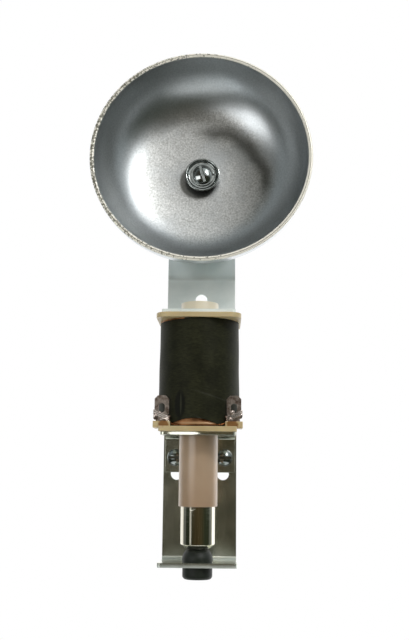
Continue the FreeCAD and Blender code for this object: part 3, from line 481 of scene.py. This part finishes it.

# Painted dark reflection: a soft band round a centre below and right of the gong's own, whose
# radius wavers with the haze, and which shows only up and to the right. Painted washer shadow: a
# soft spot round the washer, a little to its lower left.
DARK_REFLECTION_CENTRE = (5.0 * MM, 0, -1.0 * MM)
DARK_REFLECTION_RADIUS = 17.0 * MM
DARK_REFLECTION_WAVER = 7.0 * MM
DARK_REFLECTION_HALF_WIDTH = 4.4 * MM
WASHER_SHADOW_CENTRE = (-1.9 * MM, 0, -1.45 * MM)
WASHER_SHADOW_RADIUS = 7.0 * MM
dark_reflection_radius = add(tree, "ShaderNodeMath", {0: haze, 1: DARK_REFLECTION_WAVER, 2: DARK_REFLECTION_RADIUS},
                     operation="MULTIPLY_ADD")
off_band = add(tree, "ShaderNodeMath", {
    0: off_axis(tree, from_rim, DARK_REFLECTION_CENTRE), 1: dark_reflection_radius}, operation="SUBTRACT")
band_gap = add(tree, "ShaderNodeMath", {0: off_band}, operation="ABSOLUTE")
band = add(tree, "ShaderNodeMapRange", {
    "Value": band_gap, "From Max": DARK_REFLECTION_HALF_WIDTH, "To Min": 1.0, "To Max": 0.0},
    interpolation_type="SMOOTHSTEP")
up_and_right = add(tree, "ShaderNodeVectorMath", {0: from_rim, 1: (1, 0, 1)},
                   operation="DOT_PRODUCT")
band_end = add(tree, "ShaderNodeMapRange", {
    "Value": up_and_right, "From Min": 12 * MM, "From Max": 24 * MM, "To Max": 0.75},
    interpolation_type="SMOOTHSTEP")
painted_dark_reflection = add(tree, "ShaderNodeMath", {0: band, 1: band_end}, operation="MULTIPLY")
painted_washer_shadow = add(tree, "ShaderNodeMapRange", {
    "Value": off_axis(tree, from_rim, WASHER_SHADOW_CENTRE), "From Min": WASHER_SHADOW_RADIUS,
    "From Max": WASHER_SHADOW_RADIUS + 1.2 * MM, "To Min": 0.8, "To Max": 0.0},
    interpolation_type="SMOOTHSTEP")
painted_marks = add(tree, "ShaderNodeMath", {0: painted_dark_reflection, 1: painted_washer_shadow}, operation="MAXIMUM")
# Both painted marks, the dark reflection and the washer's shadow, show on the inside face only.
gong_facing = add(tree, "ShaderNodeNewGeometry").node.outputs["Normal"]
to_mouth = add(tree, "ShaderNodeVectorMath", {0: gong_facing, 1: tuple(gong_forward)},
               operation="DOT_PRODUCT")
inside = add(tree, "ShaderNodeMapRange", {"Value": to_mouth, "From Max": 0.1})
painted_marks_inside = add(tree, "ShaderNodeMath", {0: painted_marks, 1: inside}, operation="MULTIPLY")
painted_face = add(tree, "ShaderNodeMix", {
    "Factor": painted_marks_inside, "A": face, "B": linear("#5a5a55")}, data_type="RGBA")

# The cut lip: pale and hardly metallic, torn into burrs of about 0.8 mm, and paler to the right,
# which is painted light, with a painted dark line of groove shade 0.85 mm in from its outer edge.
BURR_SIZE = 0.769231 * MM
PALER_RIGHT_PER_METRE = 3.0
GROOVE_SHADE_INSET = 0.85 * MM
burr = add(tree, "ShaderNodeTexNoise", {"Vector": place, "Scale": 1 / BURR_SIZE, "Detail": 3})
across = add(tree, "ShaderNodeSeparateXYZ", {"Vector": place}).node.outputs["X"]
# Paler to the right: painted light, over the real burrs.
burred_and_lit_lip = add(tree, "ShaderNodeMath", {0: across, 1: PALER_RIGHT_PER_METRE, 2: burr},
               operation="MULTIPLY_ADD")
bare_lip = add(tree, "ShaderNodeValToRGB", {"Fac": burred_and_lit_lip},
               stops=[(0.33, "#77766a"), (0.44, "#fffbee")])
# The dark line round the lip is painted groove shade.
off_groove_shade = add(tree, "ShaderNodeMath", {
    0: off_axis(tree, from_rim, (0, 0, 0)), 1: gong_radius - GROOVE_SHADE_INSET}, operation="SUBTRACT")
groove_shade_gap = add(tree, "ShaderNodeMath", {0: off_groove_shade}, operation="ABSOLUTE")
painted_groove_shade = add(tree, "ShaderNodeMapRange", {
    "Value": groove_shade_gap, "From Min": 0.10 * MM, "From Max": 0.22 * MM,
    "To Min": 0.75, "To Max": 0.0})
lip_colour = add(tree, "ShaderNodeMix", {
    "Factor": painted_groove_shade, "A": bare_lip, "B": linear("#6f6a58")}, data_type="RGBA")
at_lip = add(tree, "ShaderNodeMapRange", {
    "Value": depth, "From Min": -0.55 * MM, "From Max": -0.35 * MM})
plate_colour = add(tree, "ShaderNodeMix", {"Factor": at_lip, "A": painted_face, "B": lip_colour},
                   data_type="RGBA")
plate_metal = add(tree, "ShaderNodeMapRange", {"Value": at_lip, "To Min": 1.0, "To Max": 0.1})
satin = add(tree, "ShaderNodeMapRange", {"Value": haze, "To Min": 0.28, "To Max": 0.40})
relief = add(tree, "ShaderNodeBump", {
    "Height": mottle, "Strength": 0.25, "Distance": 0.02 * MM})
finish_material(tree, {"Base Color": plate_colour, "Metallic": plate_metal, "Roughness": satin,
                       "Normal": relief})
install(skin("gong_shell", on_gong_axis(turned(gong_profile, 256), rim_centre)), gong_plate,
        "gong_plate", "frame", "gong")


# ---------------------------------------------------------------- screws, washers and rivets
# Slotted screws, split washers and rivets of bright plated steel. Under the gong screw's head are
# a split washer, a dished washer with a bright rim and a dark fibre washer; a thicker one behind
# the gong holds it off the strip.

# Bright zinc: a clear grey mirror, a little duller in patches of about 2 mm.
DULL_PATCH = 2.0 * MM
bright_zinc, tree, place = start_material("bright zinc plated screw")
tone = add(tree, "ShaderNodeTexNoise", {"Vector": place, "Scale": 1 / DULL_PATCH, "Detail": 4})
grey = add(tree, "ShaderNodeValToRGB", {"Fac": tone}, stops=[(0.3, "#7b8281"), (0.7, "#b7bcba")])
finish_material(tree, {"Base Color": grey, "Metallic": 1.0, "Roughness": 0.16})

# Black fibre: matt and nearly black. Its fibres are drawn 0.4 mm across, so that they show.
FIBRE_SIZE = 0.4 * MM
dark_fibre, tree, place = start_material("black fibre washer")
fibres = add(tree, "ShaderNodeTexNoise", {"Vector": place, "Scale": 1 / FIBRE_SIZE, "Detail": 4})
black = add(tree, "ShaderNodeValToRGB", {"Fac": fibres},
            stops=[(0.3, "#121311"), (0.7, "#2a2c29")])
finish_material(tree, {"Base Color": black, "Metallic": 0.0, "Roughness": 0.7})

CUP_RADIUS = 7.15 * MM
CUP_HOLE = 2.25 * MM
CUP_FLOOR = 0.8 * MM
CUP_HEIGHT = 1.8 * MM
CUP_RIM = 0.7 * MM
cup_profile = softened([
    (CUP_HOLE, 0), (CUP_RADIUS - CUP_RIM, 0), (CUP_RADIUS, CUP_FLOOR), (CUP_RADIUS, CUP_HEIGHT),
    (CUP_RADIUS - CUP_RIM, CUP_HEIGHT), (CUP_RADIUS - 2 * CUP_RIM, CUP_FLOOR),
    (CUP_HOLE, CUP_FLOOR),
], [0.05 * MM, 0.3 * MM, 0.2 * MM, 0.3 * MM, 0.3 * MM, 0.3 * MM, 0.1 * MM])
cup_low, cup_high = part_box("gong_cup_washer")
cup_foot = (Vector(cup_low) + Vector(cup_high)) / 2 - gong_forward * CUP_HEIGHT / 2
install(skin("cup_washer", on_gong_axis(turned(cup_profile, 64), cup_foot)), bright_zinc,
        "fastener_steel", "frame", "gong_cup_washer")

# Each fastener's node, its piece's name, and how far its edges are eased.
FASTENERS = {
    "gong_screw": ("gong_head_screw", 0.12 * MM),
    "gong_screw_washer": ("split_washer", 0.2 * MM),
    "lower_bracket_screws": ("bracket_screws", 0.12 * MM),
    "lower_bracket_lock_washers": ("bracket_split_washers", 0.4 * MM),
}
for node, (name, ease) in FASTENERS.items():
    install(eased_copy(node, name, ease), bright_zinc, "fastener_steel", "frame", node)
coat(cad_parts["upper_bracket_rivets"], bright_zinc)
for node in ("gong_front_washer", "gong_rear_washer"):
    coat(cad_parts[node], dark_fibre)


# ---------------------------------------------------------------- sleeve and bobbin
# Both are natural nylon, cream to start with and tanned by age and by the heat of the coil. The
# sleeve is extruded tube cut off square; the bobbin is moulded, with square flanges and two ears
# for the lugs.
SLEEVE_BORE = 6.44 * MM
SLEEVE_EDGE = 0.15 * MM
MOULDED_EDGE = 0.2 * MM
sleeve_low, sleeve_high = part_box("coil_sleeve")
sleeve_radius = (sleeve_high[0] - sleeve_low[0]) / 2
sleeve_length = sleeve_high[2] - sleeve_low[2]
axis_foot = Vector((0, (sleeve_low[1] + sleeve_high[1]) / 2, 0))


def on_coil_axis(grid, foot):
    """Moves a grid built round Z onto the coil's axis, with its height 0 at the foot."""
    return grid + np.array(axis_foot + Vector((0, 0, foot)))


# Nylon tube: glossy and milky, with light coming through its wall. It is tanned in clouds of
# about 17 mm, and fresher from 30 mm up, clear of the coil.
TUBE_CLOUD = 16.6667 * MM
nylon, tree, place = start_material("aged natural nylon tube")
age = add(tree, "ShaderNodeTexNoise", {"Vector": place, "Scale": 1 / TUBE_CLOUD, "Detail": 3})
cream = add(tree, "ShaderNodeValToRGB", {"Fac": age}, stops=[(0.3, "#cfb192"), (0.7, "#dfc4a6")])
height = add(tree, "ShaderNodeSeparateXYZ", {"Vector": place}).node.outputs["Z"]
fresh = add(tree, "ShaderNodeMapRange", {
    "Value": height, "From Min": 30 * MM, "From Max": 35 * MM})
tube_tone = add(tree, "ShaderNodeMix", {"Factor": fresh, "A": cream, "B": linear("#f4ead2")},
                data_type="RGBA")
finish_material(tree, {
    "Base Color": tube_tone, "Metallic": 0.0, "Roughness": 0.3, "Transmission Weight": 0.4,
    "IOR": 1.5, "Coat Weight": 0.3, "Coat Roughness": 0.12})

# Moulded nylon: satin, cream and a little waxy, in clouds of about 11 mm. Soldering has left a
# ragged amber stain of flux at the foot of each lug, the same on both ears.
BOBBIN_CLOUD = 11.1111 * MM
SMEAR_SIZE = 2.38095 * MM
LUG_FOOT = (12.4 * MM, -33.7 * MM, -7.4 * MM)
moulded_nylon, tree, place = start_material("aged moulded nylon")
age = add(tree, "ShaderNodeTexNoise", {"Vector": place, "Scale": 1 / BOBBIN_CLOUD, "Detail": 3})
cream = add(tree, "ShaderNodeValToRGB", {"Fac": age}, stops=[(0.3, "#bba67a"), (0.7, "#cbb88c")])
axes = add(tree, "ShaderNodeSeparateXYZ", {"Vector": place}).node.outputs
either_side = add(tree, "ShaderNodeMath", {0: axes["X"]}, operation="ABSOLUTE")
ear_place = add(tree, "ShaderNodeCombineXYZ", {"X": either_side, "Y": axes["Y"], "Z": axes["Z"]})
from_foot = add(tree, "ShaderNodeVectorMath", {0: ear_place, 1: LUG_FOOT}, operation="DISTANCE")
smear = add(tree, "ShaderNodeTexNoise", {"Vector": place, "Scale": 1 / SMEAR_SIZE, "Detail": 3})
ragged = add(tree, "ShaderNodeMath", {0: smear, 1: 2.4 * MM, 2: from_foot},
             operation="MULTIPLY_ADD")
flux = add(tree, "ShaderNodeMapRange", {
    "Value": ragged, "From Min": 2.6 * MM, "From Max": 3.5 * MM, "To Min": 0.9, "To Max": 0.0},
    interpolation_type="SMOOTHSTEP")
stained = add(tree, "ShaderNodeMix", {"Factor": flux, "A": cream, "B": linear("#7d4f12")},
              data_type="RGBA")
finish_material(tree, {
    "Base Color": stained, "Metallic": 0.0, "Roughness": 0.38, "Subsurface Weight": 0.3,
    "Subsurface Scale": 1.0 * MM, "Subsurface Radius": (1.0, 0.7, 0.4)})

sleeve_profile = softened([
    (SLEEVE_BORE, 0), (sleeve_radius, 0), (sleeve_radius, sleeve_length),
    (SLEEVE_BORE, sleeve_length),
], SLEEVE_EDGE)
install(skin("coil_sleeve_tube", on_coil_axis(turned(sleeve_profile, 96), sleeve_low[2])), nylon,
        "nylon", "frame", "coil_sleeve")
install(eased_copy("coil_bobbin", "moulded_bobbin", MOULDED_EDGE), moulded_nylon, "nylon",
        "frame", "coil_bobbin")


# ---------------------------------------------------------------- winding
# Enamelled copper wire in even layers, wound on the bobbin by machine. The lowest turns stay bare
# and bulge over the flange, with a pale lens of painted highlight across their front.

# Enamelled copper: warm brown and bright, uneven over about 2.5 mm. A painted highlight is a pale
# matt lens, 1 mm high and 15 mm long, which closes by the square of the distance from its middle.
# In the flange's corner the wire is painted dark, as shade.
WIRE_PATCH = 2.5 * MM
HIGHLIGHT_LENS_HEIGHT = -6.85 * MM
HIGHLIGHT_LENS_NARROWING = 3.0
copper, tree, place = start_material("enamelled copper wire")
shade = add(tree, "ShaderNodeTexNoise", {"Vector": place, "Scale": 1 / WIRE_PATCH, "Detail": 3})
wire_tone = add(tree, "ShaderNodeValToRGB", {"Fac": shade},
                stops=[(0.3, "#7a4a2c"), (0.7, "#b08058")])
axes = add(tree, "ShaderNodeSeparateXYZ", {"Vector": place}).node.outputs
# The pale lens is a painted highlight.
aside = add(tree, "ShaderNodeMath", {0: axes["X"], 1: HIGHLIGHT_LENS_NARROWING}, operation="MULTIPLY")
narrowing = add(tree, "ShaderNodeMath", {0: aside, 1: aside}, operation="MULTIPLY")
over_highlight_lens = add(tree, "ShaderNodeMath", {0: axes["Z"], 1: HIGHLIGHT_LENS_HEIGHT}, operation="SUBTRACT")
off_highlight_lens = add(tree, "ShaderNodeMath", {0: over_highlight_lens}, operation="ABSOLUTE")
spread = add(tree, "ShaderNodeMath", {0: off_highlight_lens, 1: narrowing}, operation="ADD")
painted_highlight_lens = add(tree, "ShaderNodeMapRange", {
    "Value": spread, "From Min": 0.52 * MM, "From Max": 0.40 * MM})
highlighted_wire = add(tree, "ShaderNodeMix", {
    "Factor": painted_highlight_lens, "A": wire_tone, "B": linear("#b48d63")}, data_type="RGBA")
# The dark band in the flange's corner is painted shade.
painted_corner_shade = add(tree, "ShaderNodeMapRange", {
    "Value": axes["Z"], "From Min": -7.35 * MM, "From Max": -7.55 * MM,
    "To Min": 0.0, "To Max": 0.85})
corner_shaded_wire = add(tree, "ShaderNodeMix", {
    "Factor": painted_corner_shade, "A": highlighted_wire, "B": linear("#2c140a")}, data_type="RGBA")
bare_wire = add(tree, "ShaderNodeMapRange", {"Value": painted_highlight_lens, "To Min": 0.9, "To Max": 0.1})
finish_material(tree, {"Base Color": corner_shaded_wire, "Metallic": bare_wire, "Roughness": 0.30})

WIRE_PITCH = 0.32 * MM
GROOVE_DEPTH = 0.07 * MM
ROLL_HEIGHT = 1.0 * MM
ROLL_BULGE = 0.35 * MM
WINDING_WALL = 6 * MM
winding_low, winding_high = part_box("coil_winding")
winding_radius = (winding_high[0] - winding_low[0]) / 2
winding_length = winding_high[2] - winding_low[2]
along = np.linspace(0, winding_length, 900)
groove = np.abs(np.sin(math.pi * along / WIRE_PITCH)) * GROOVE_DEPTH
roll = ROLL_BULGE * np.exp(-((along - ROLL_HEIGHT) / (0.8 * ROLL_HEIGHT)) ** 2)
winding_profile = np.concatenate([
    np.stack([winding_radius - GROOVE_DEPTH + groove + roll, along], -1),
    [(winding_radius - WINDING_WALL, winding_length), (winding_radius - WINDING_WALL, 0)],
])
install(skin("copper_winding", on_coil_axis(turned(winding_profile, 72), winding_low[2]),
             crease=80), copper, "copper", "frame", "coil_winding")


# ---------------------------------------------------------------- tape
# Black cloth tape over the winding. Its lower edge is drawn down to the flange at the sides and
# leaves a lens of bare wire in front; its end laps show as faint steps, and one fold runs up it.
def lap(distance, softness):
    """Soft step from 0 to 1 across an edge: (1 + tanh(distance / softness)) / 2."""
    return (1 + np.tanh(distance / softness)) / 2


def off_oval(tree, place, across, up, half_width, half_height):
    """Distance from the middle of an upright oval on the coil's front, which is 1 at its edge.

    It is the length of (place - middle) / (half width, half height), with the depth left out.
    """
    shared = add(tree, "ShaderNodeMapping", {
        "Vector": place, "Location": (-across / half_width, 0, -up / half_height),
        "Scale": (1 / half_width, 0, 1 / half_height)})
    return add(tree, "ShaderNodeVectorMath", {0: shared}, operation="LENGTH")


# Cloth tape: matt brownish black. Its weave is drawn about 0.4 mm high and 1.4 mm long, coarser
# than the real threads, so that it shows, and is worn in patches of about 5 mm. The fold's hollow
# is painted darker, as shade, and its crest painted grey, as a highlight.
WEAVE_HEIGHT = 0.384615 * MM
WEAVE_LENGTH = 1.42857 * MM
WORN_PATCH = 5.26316 * MM
tape, tree, place = start_material("black coil tape")
weave_place = add(tree, "ShaderNodeMapping", {
    "Vector": place, "Scale": (1 / WEAVE_LENGTH, 1 / WEAVE_LENGTH, 1 / WEAVE_HEIGHT)})
weave = add(tree, "ShaderNodeTexNoise", {"Vector": weave_place, "Scale": 1, "Detail": 4})
patchy = add(tree, "ShaderNodeTexNoise", {"Vector": place, "Scale": 1 / WORN_PATCH, "Detail": 3})
worn = add(tree, "ShaderNodeMath", {0: weave, 1: patchy}, operation="MULTIPLY")
tape_tone = add(tree, "ShaderNodeValToRGB", {"Fac": worn},
                stops=[(0.12, "#17180a"), (0.42, "#2b2c1a")])
# Painted shade in the fold's hollow.
painted_fold_shade = add(tree, "ShaderNodeMapRange", {
    "Value": off_oval(tree, place, -6.4 * MM, -0.3 * MM, 2.0 * MM, 5.4 * MM),
    "From Min": 0.75, "From Max": 1.1, "To Min": 0.75, "To Max": 0.0},
    interpolation_type="SMOOTHSTEP")
shaded = add(tree, "ShaderNodeMix", {"Factor": painted_fold_shade, "A": tape_tone, "B": linear("#060703")},
             data_type="RGBA")
# Painted highlight on the fold's crest.
painted_crest_highlight = add(tree, "ShaderNodeMapRange", {
    "Value": off_oval(tree, place, -6.15 * MM, 0.0, 0.35 * MM, 4.2 * MM),
    "From Min": 0.6, "From Max": 1.2, "To Min": 0.8, "To Max": 0.0},
    interpolation_type="SMOOTHSTEP")
crest_highlighted = add(tree, "ShaderNodeMix", {"Factor": painted_crest_highlight, "A": shaded, "B": linear("#34362a")},
              data_type="RGBA")
threads = add(tree, "ShaderNodeBump", {
    "Height": weave, "Strength": 0.35, "Distance": 0.05 * MM})
finish_material(tree, {"Base Color": crest_highlighted, "Metallic": 0.0, "Roughness": 0.55,
                       "Specular IOR Level": 0.12, "Normal": threads})

# The wrap is a tube of rows up and turns around. What is said of the front fades out behind.
WRAP_TAPER = 0.35 * MM
WRAP_THICKNESS = 0.6 * MM
LAP_THICKNESS = 0.2 * MM
FOLD_DEPTH = 0.30 * MM
CREST_HEIGHT = 0.22 * MM
SWELL_HEIGHT = 0.03 * MM
wrap_low, wrap_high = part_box("coil_tape_wrap")
wrap_radius = (wrap_high[0] - wrap_low[0]) / 2
bare_height = wrap_low[2] - winding_low[2]
row, turn = np.meshgrid(np.linspace(0, 1, 160),
                        np.linspace(0, 2 * math.pi, 360, endpoint=False), indexing="ij")
across = wrap_radius * np.cos(turn)
in_front = lap(-np.sin(turn), 0.15)

# Lower edge: a lens of bare wire 20 mm wide, its middle 1.5 mm to the left. Upper edge: half a
# millimetre lower left of the fold.
bare_lens = np.maximum(0, 1 - ((across + 1.5 * MM) / (10 * MM)) ** 2)
edge_low = winding_low[2] + 0.08 * MM + bare_height * bare_lens * in_front
edge_high = wrap_high[2] - 0.5 * MM * (1 - lap(across + 5.3 * MM, 0.2 * MM)) * in_front
up = edge_low + (edge_high - edge_low) * row

# Two laps, each below a slanting edge and right of where it starts; then the fold, as a hollow
# with a crest in it, and a slow swell over the whole wrap.
first_lap = (lap(5.4 * MM - 0.30 * (across + 3.3 * MM) - up, 0.10 * MM)
             * lap(across + 4 * MM, 1.0 * MM))
second_lap = (lap(-3.2 * MM - 0.49 * (across + 3.0 * MM) - up, 0.10 * MM)
              * lap(across + 3 * MM, 0.6 * MM))
fold_reach = lap(up + 4.5 * MM, 1.0 * MM) * lap(4.2 * MM - up, 0.8 * MM)
fold = -FOLD_DEPTH * np.exp(-((across + 6.5 * MM) / (1.5 * MM)) ** 2)
ridge = CREST_HEIGHT * np.exp(-((across + 6.2 * MM) / (0.35 * MM)) ** 2)
swell = (np.sin(3 * turn + 9 * row) + np.sin(7 * turn - 17 * row + 1.3)) * SWELL_HEIGHT
outer = (wrap_radius - LAP_THICKNESS - WRAP_TAPER * row + swell
         + (LAP_THICKNESS * (first_lap + second_lap) + (fold + ridge) * fold_reach) * in_front)
outer_grid = np.stack([outer * np.cos(turn), outer * np.sin(turn), up], -1)

# The inside is straight, from the top row to the bottom one.
ends = [-1, 0]
inner = np.minimum(outer[ends] - 0.05 * MM, wrap_radius - WRAP_THICKNESS)
inner_grid = np.stack([inner * np.cos(turn[ends]), inner * np.sin(turn[ends]), up[ends]], -1)
wrap_grid = on_coil_axis(np.concatenate([outer_grid, inner_grid]), 0)
install(skin("tape_wrap", wrap_grid), tape, "tape", "frame", "coil_tape_wrap")


# ---------------------------------------------------------------- solder lugs and lead wires
# Stamped brass lugs, hot tinned. The ends of the winding wire are wound on them aslant and
# soldered, with lumps of solder at their feet; off the lugs the wire is bare brown copper.
def strand(line, radius):
    """Grid of a round wire along a centre line: point + radius (cos a * beside + sin a * over)."""
    sides = 12
    ahead = np.gradient(line, axis=0)
    ahead /= np.linalg.norm(ahead, axis=1, keepdims=True)
    beside = np.cross(ahead, (0, 0, 1))
    beside /= np.linalg.norm(beside, axis=1, keepdims=True)
    over = np.cross(beside, ahead)
    angle = np.linspace(0, 2 * math.pi, sides, endpoint=False)[None, :, None]
    tube = line[:, None] + radius * (np.cos(angle) * beside[:, None]
                                     + np.sin(angle) * over[:, None])
    return np.concatenate([np.repeat(line[:1, None], sides, 1), tube,
                           np.repeat(line[-1:, None], sides, 1)])


def lump(centre, size, seed):
    """Grid of a lump of solder: an ellipsoid whose radius waves a little over its surface.

    The wave is 1 + 0.16 sin(3 angle + seed) sin(rise) sin(2 rise - seed).
    """
    rise, angle = np.meshgrid(np.linspace(0, math.pi, 24),
                              np.linspace(0, 2 * math.pi, 32, endpoint=False), indexing="ij")
    wave = 1 + 0.16 * np.sin(3 * angle + seed) * np.sin(rise) * np.sin(2 * rise - seed)
    ball = np.stack([np.sin(rise) * np.cos(angle), np.sin(rise) * np.sin(angle), np.cos(rise)], -1)
    return np.array(centre) + ball * wave[..., None] * np.array(size)


# Tinned brass: bright but lumpy, with warm grey blotches of about 1.4 mm where the tin is thin.
BLOTCH_SIZE = 1.42857 * MM
tinned, tree, place = start_material("tinned lug")
blotch = add(tree, "ShaderNodeTexNoise", {"Vector": place, "Scale": 1 / BLOTCH_SIZE, "Detail": 4})
tin = add(tree, "ShaderNodeValToRGB", {"Fac": blotch},
          stops=[(0.35, "#7d6b62"), (0.65, "#d0c4bb")])
dents = add(tree, "ShaderNodeBump", {"Height": blotch, "Strength": 0.5, "Distance": 0.2 * MM})
finish_material(tree, {"Base Color": tin, "Metallic": 1.0, "Roughness": 0.30, "Normal": dents})

# Soldered wire: bright grey on the lugs, and brown copper from 9.8 mm off the middle inwards.
soldered_wire, tree, place = start_material("soldered copper wire")
across_unit = add(tree, "ShaderNodeSeparateXYZ", {"Vector": place}).node.outputs["X"]
either_side = add(tree, "ShaderNodeMath", {0: across_unit}, operation="ABSOLUTE")
on_lug = add(tree, "ShaderNodeMapRange", {
    "Value": either_side, "From Min": 9.8 * MM, "From Max": 11.0 * MM})
wire_colour = add(tree, "ShaderNodeValToRGB", {"Fac": on_lug},
                  stops=[(0.0, "#6e4326"), (1.0, "#cfc6bf")])
finish_material(tree, {"Base Color": wire_colour, "Metallic": 1.0, "Roughness": 0.25})

# The wire leaves the winding in a short bend and makes three turns round the lug, each a squarish
# oval, (cos a, sin a) / (cos^4 a + sin^4 a)^(1/4), that climbs as it goes and slants up outwards.
WIRE_RADIUS = 0.28 * MM
WIRE_TURNS = 3
TURN_PITCH = 0.62 * MM
TURN_SLANT = 0.42
lug_low, lug_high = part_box("solder_lug_right")
turns_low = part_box("lead_wire_right")[0][2] + 2 * WIRE_RADIUS
lug_across, lug_y = (lug_low[0] + lug_high[0]) / 2, (lug_low[1] + lug_high[1]) / 2
turn_reach = (lug_high[0] - lug_low[0]) / 2 + WIRE_RADIUS
turn_depth = (lug_high[1] - lug_low[1]) / 2 + 1.3 * WIRE_RADIUS
wound = np.linspace(math.pi, math.pi * (1 + 2 * WIRE_TURNS), 200)
squarish = (np.abs(np.cos(wound)) ** 4 + np.abs(np.sin(wound)) ** 4) ** -0.25
wound_x = turn_reach * np.cos(wound) * squarish
wound_line = np.stack([
    lug_across + wound_x,
    lug_y + turn_depth * np.sin(wound) * squarish,
    (turns_low + TURN_PITCH * (wound - math.pi) / (2 * math.pi)
     + TURN_SLANT * (wound_x + turn_reach)),
], -1)
t = np.linspace(0, 1, 40)[:-1, None]
touch = np.array([7.0 * MM, axis_foot.y - 13.65 * MM, winding_low[2] + 0.5 * MM])
bend = np.array([lug_across - turn_reach - 0.6 * MM, lug_y - 0.9 * MM, winding_low[2] + 0.6 * MM])
run_line = (1 - t) ** 2 * touch + 2 * t * (1 - t) * bend + t ** 2 * wound_line[0]
lead_grid = strand(np.concatenate([run_line, wound_line]), WIRE_RADIUS)
for side, mirror in (("right", (1, 1, 1)), ("left", (-1, 1, 1))):
    install(skin(f"lead_{side}", lead_grid * np.array(mirror), close_rows=False), soldered_wire,
            "copper", "frame", f"lead_wire_{side}")

# Each lump's place across, behind and above the foot of the turns and its half sizes, all in
# millimetres, and the seed of its wave.
LUMPS = {
    "solder_left": [((-15.2, -0.5, 2.0), (0.8, 0.5, 1.2), 0.4),
                    ((-12.4, -0.6, 0.9), (1.3, 0.5, 0.7), 1.9),
                    ((-13.9, -0.5, 3.1), (0.9, 0.4, 0.8), 3.1)],
    "solder_right": [((12.4, -0.6, 3.6), (0.8, 0.5, 0.8), 0.9),
                     ((15.4, -0.2, 2.6), (0.6, 0.5, 1.3), 2.2),
                     ((11.7, -0.6, 1.0), (0.9, 0.5, 1.1), 4.0)],
}
for name, lumps in LUMPS.items():
    for number, ((aside, back, over), size, seed) in enumerate(lumps):
        centre = (aside * MM, lug_y + back * MM, turns_low - WIRE_RADIUS + over * MM)
        install(skin(f"{name}_{number}", lump(centre, np.array(size) * MM, seed),
                     close_rows=False, crease=180), tinned, "tinned_lug", "frame")
for node in ("solder_lug_left", "solder_lug_right"):
    coat(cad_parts[node], tinned)


# ---------------------------------------------------------------- plunger and striker
# Free-cutting steel bar, turned and polished, with a tapered nose and a drilled top, into which
# the nylon striker is pressed. It slides in the sleeve.

# Polished steel: a warm bright mirror with long fine scratches up it, drawn 0.4 mm wide so that
# they show, and ripples 0.7 mm apart, left by the tool, that make its reflections uneven.
SCRATCH_WIDTH = 0.384615 * MM
SCRATCH_LENGTH = 16.6667 * MM
RIPPLE_HEIGHT = 0.666667 * MM
RIPPLE_LENGTH = 3.84615 * MM
polished, tree, place = start_material("turned and polished steel")
scratch_place = add(tree, "ShaderNodeMapping", {
    "Vector": place, "Scale": (1 / SCRATCH_WIDTH, 1 / SCRATCH_WIDTH, 1 / SCRATCH_LENGTH)})
scratch = add(tree, "ShaderNodeTexNoise", {"Vector": scratch_place, "Scale": 1, "Detail": 4})
steel = add(tree, "ShaderNodeValToRGB", {"Fac": scratch},
            stops=[(0.3, "#c9c4b2"), (0.7, "#f0ecdd")])
ripple_place = add(tree, "ShaderNodeMapping", {
    "Vector": place, "Scale": (1 / RIPPLE_LENGTH, 1 / RIPPLE_LENGTH, 1 / RIPPLE_HEIGHT)})
ripple = add(tree, "ShaderNodeTexNoise", {"Vector": ripple_place, "Scale": 1, "Detail": 2})
uneven = add(tree, "ShaderNodeBump", {"Height": ripple, "Strength": 0.6, "Distance": 0.035 * MM})
finish_material(tree, {"Base Color": steel, "Metallic": 1.0, "Roughness": 0.07,
                       "Normal": uneven})

NOSE_WIDTH = 2.4 * MM
NOSE_HEIGHT = 1.7 * MM
TOP_CHAMFER = 0.5 * MM
STRIKER_HOLE = 2.45 * MM
STRIKER_HOLE_DEPTH = 9.05 * MM
plunger_low, plunger_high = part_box("plunger_body")
plunger_radius = (plunger_high[0] - plunger_low[0]) / 2
plunger_length = plunger_high[2] - plunger_low[2]
plunger_profile = softened([
    (0, 0), (plunger_radius - NOSE_WIDTH, 0), (plunger_radius, NOSE_HEIGHT),
    (plunger_radius, plunger_length - TOP_CHAMFER), (plunger_radius - TOP_CHAMFER, plunger_length),
    (STRIKER_HOLE, plunger_length), (STRIKER_HOLE, plunger_length - STRIKER_HOLE_DEPTH),
    (0, plunger_length - STRIKER_HOLE_DEPTH),
], [0, 0.25 * MM, 0.3 * MM, 0.1 * MM, 0.1 * MM, 0.1 * MM, 0.05 * MM, 0])
install(skin("plunger_slug", on_coil_axis(turned(plunger_profile, 128), plunger_low[2])),
        polished, "plunger_steel", "plunger", "plunger_body")
coat(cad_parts["plunger_striker"], nylon)


# ---------------------------------------------------------------- rubber bumper
# Moulded black rubber, snapped into the hole in the bottom flange: a domed pad above, on which the
# plunger falls back, a neck in the hole and a round button below.

# Black rubber: dull, with a soft shine and a greenish bloom in patches of about 3 mm.
BLOOM_SIZE = 3.33333 * MM
rubber, tree, place = start_material("moulded black rubber")
bloom = add(tree, "ShaderNodeTexNoise", {"Vector": place, "Scale": 1 / BLOOM_SIZE, "Detail": 4})
rubber_tone = add(tree, "ShaderNodeValToRGB", {"Fac": bloom},
                  stops=[(0.3, "#0c110a"), (0.7, "#1b2218")])
finish_material(tree, {"Base Color": rubber_tone, "Metallic": 0.0, "Roughness": 0.5,
                       "Specular IOR Level": 0.35})
coat(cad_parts["rubber_bumper"], rubber)
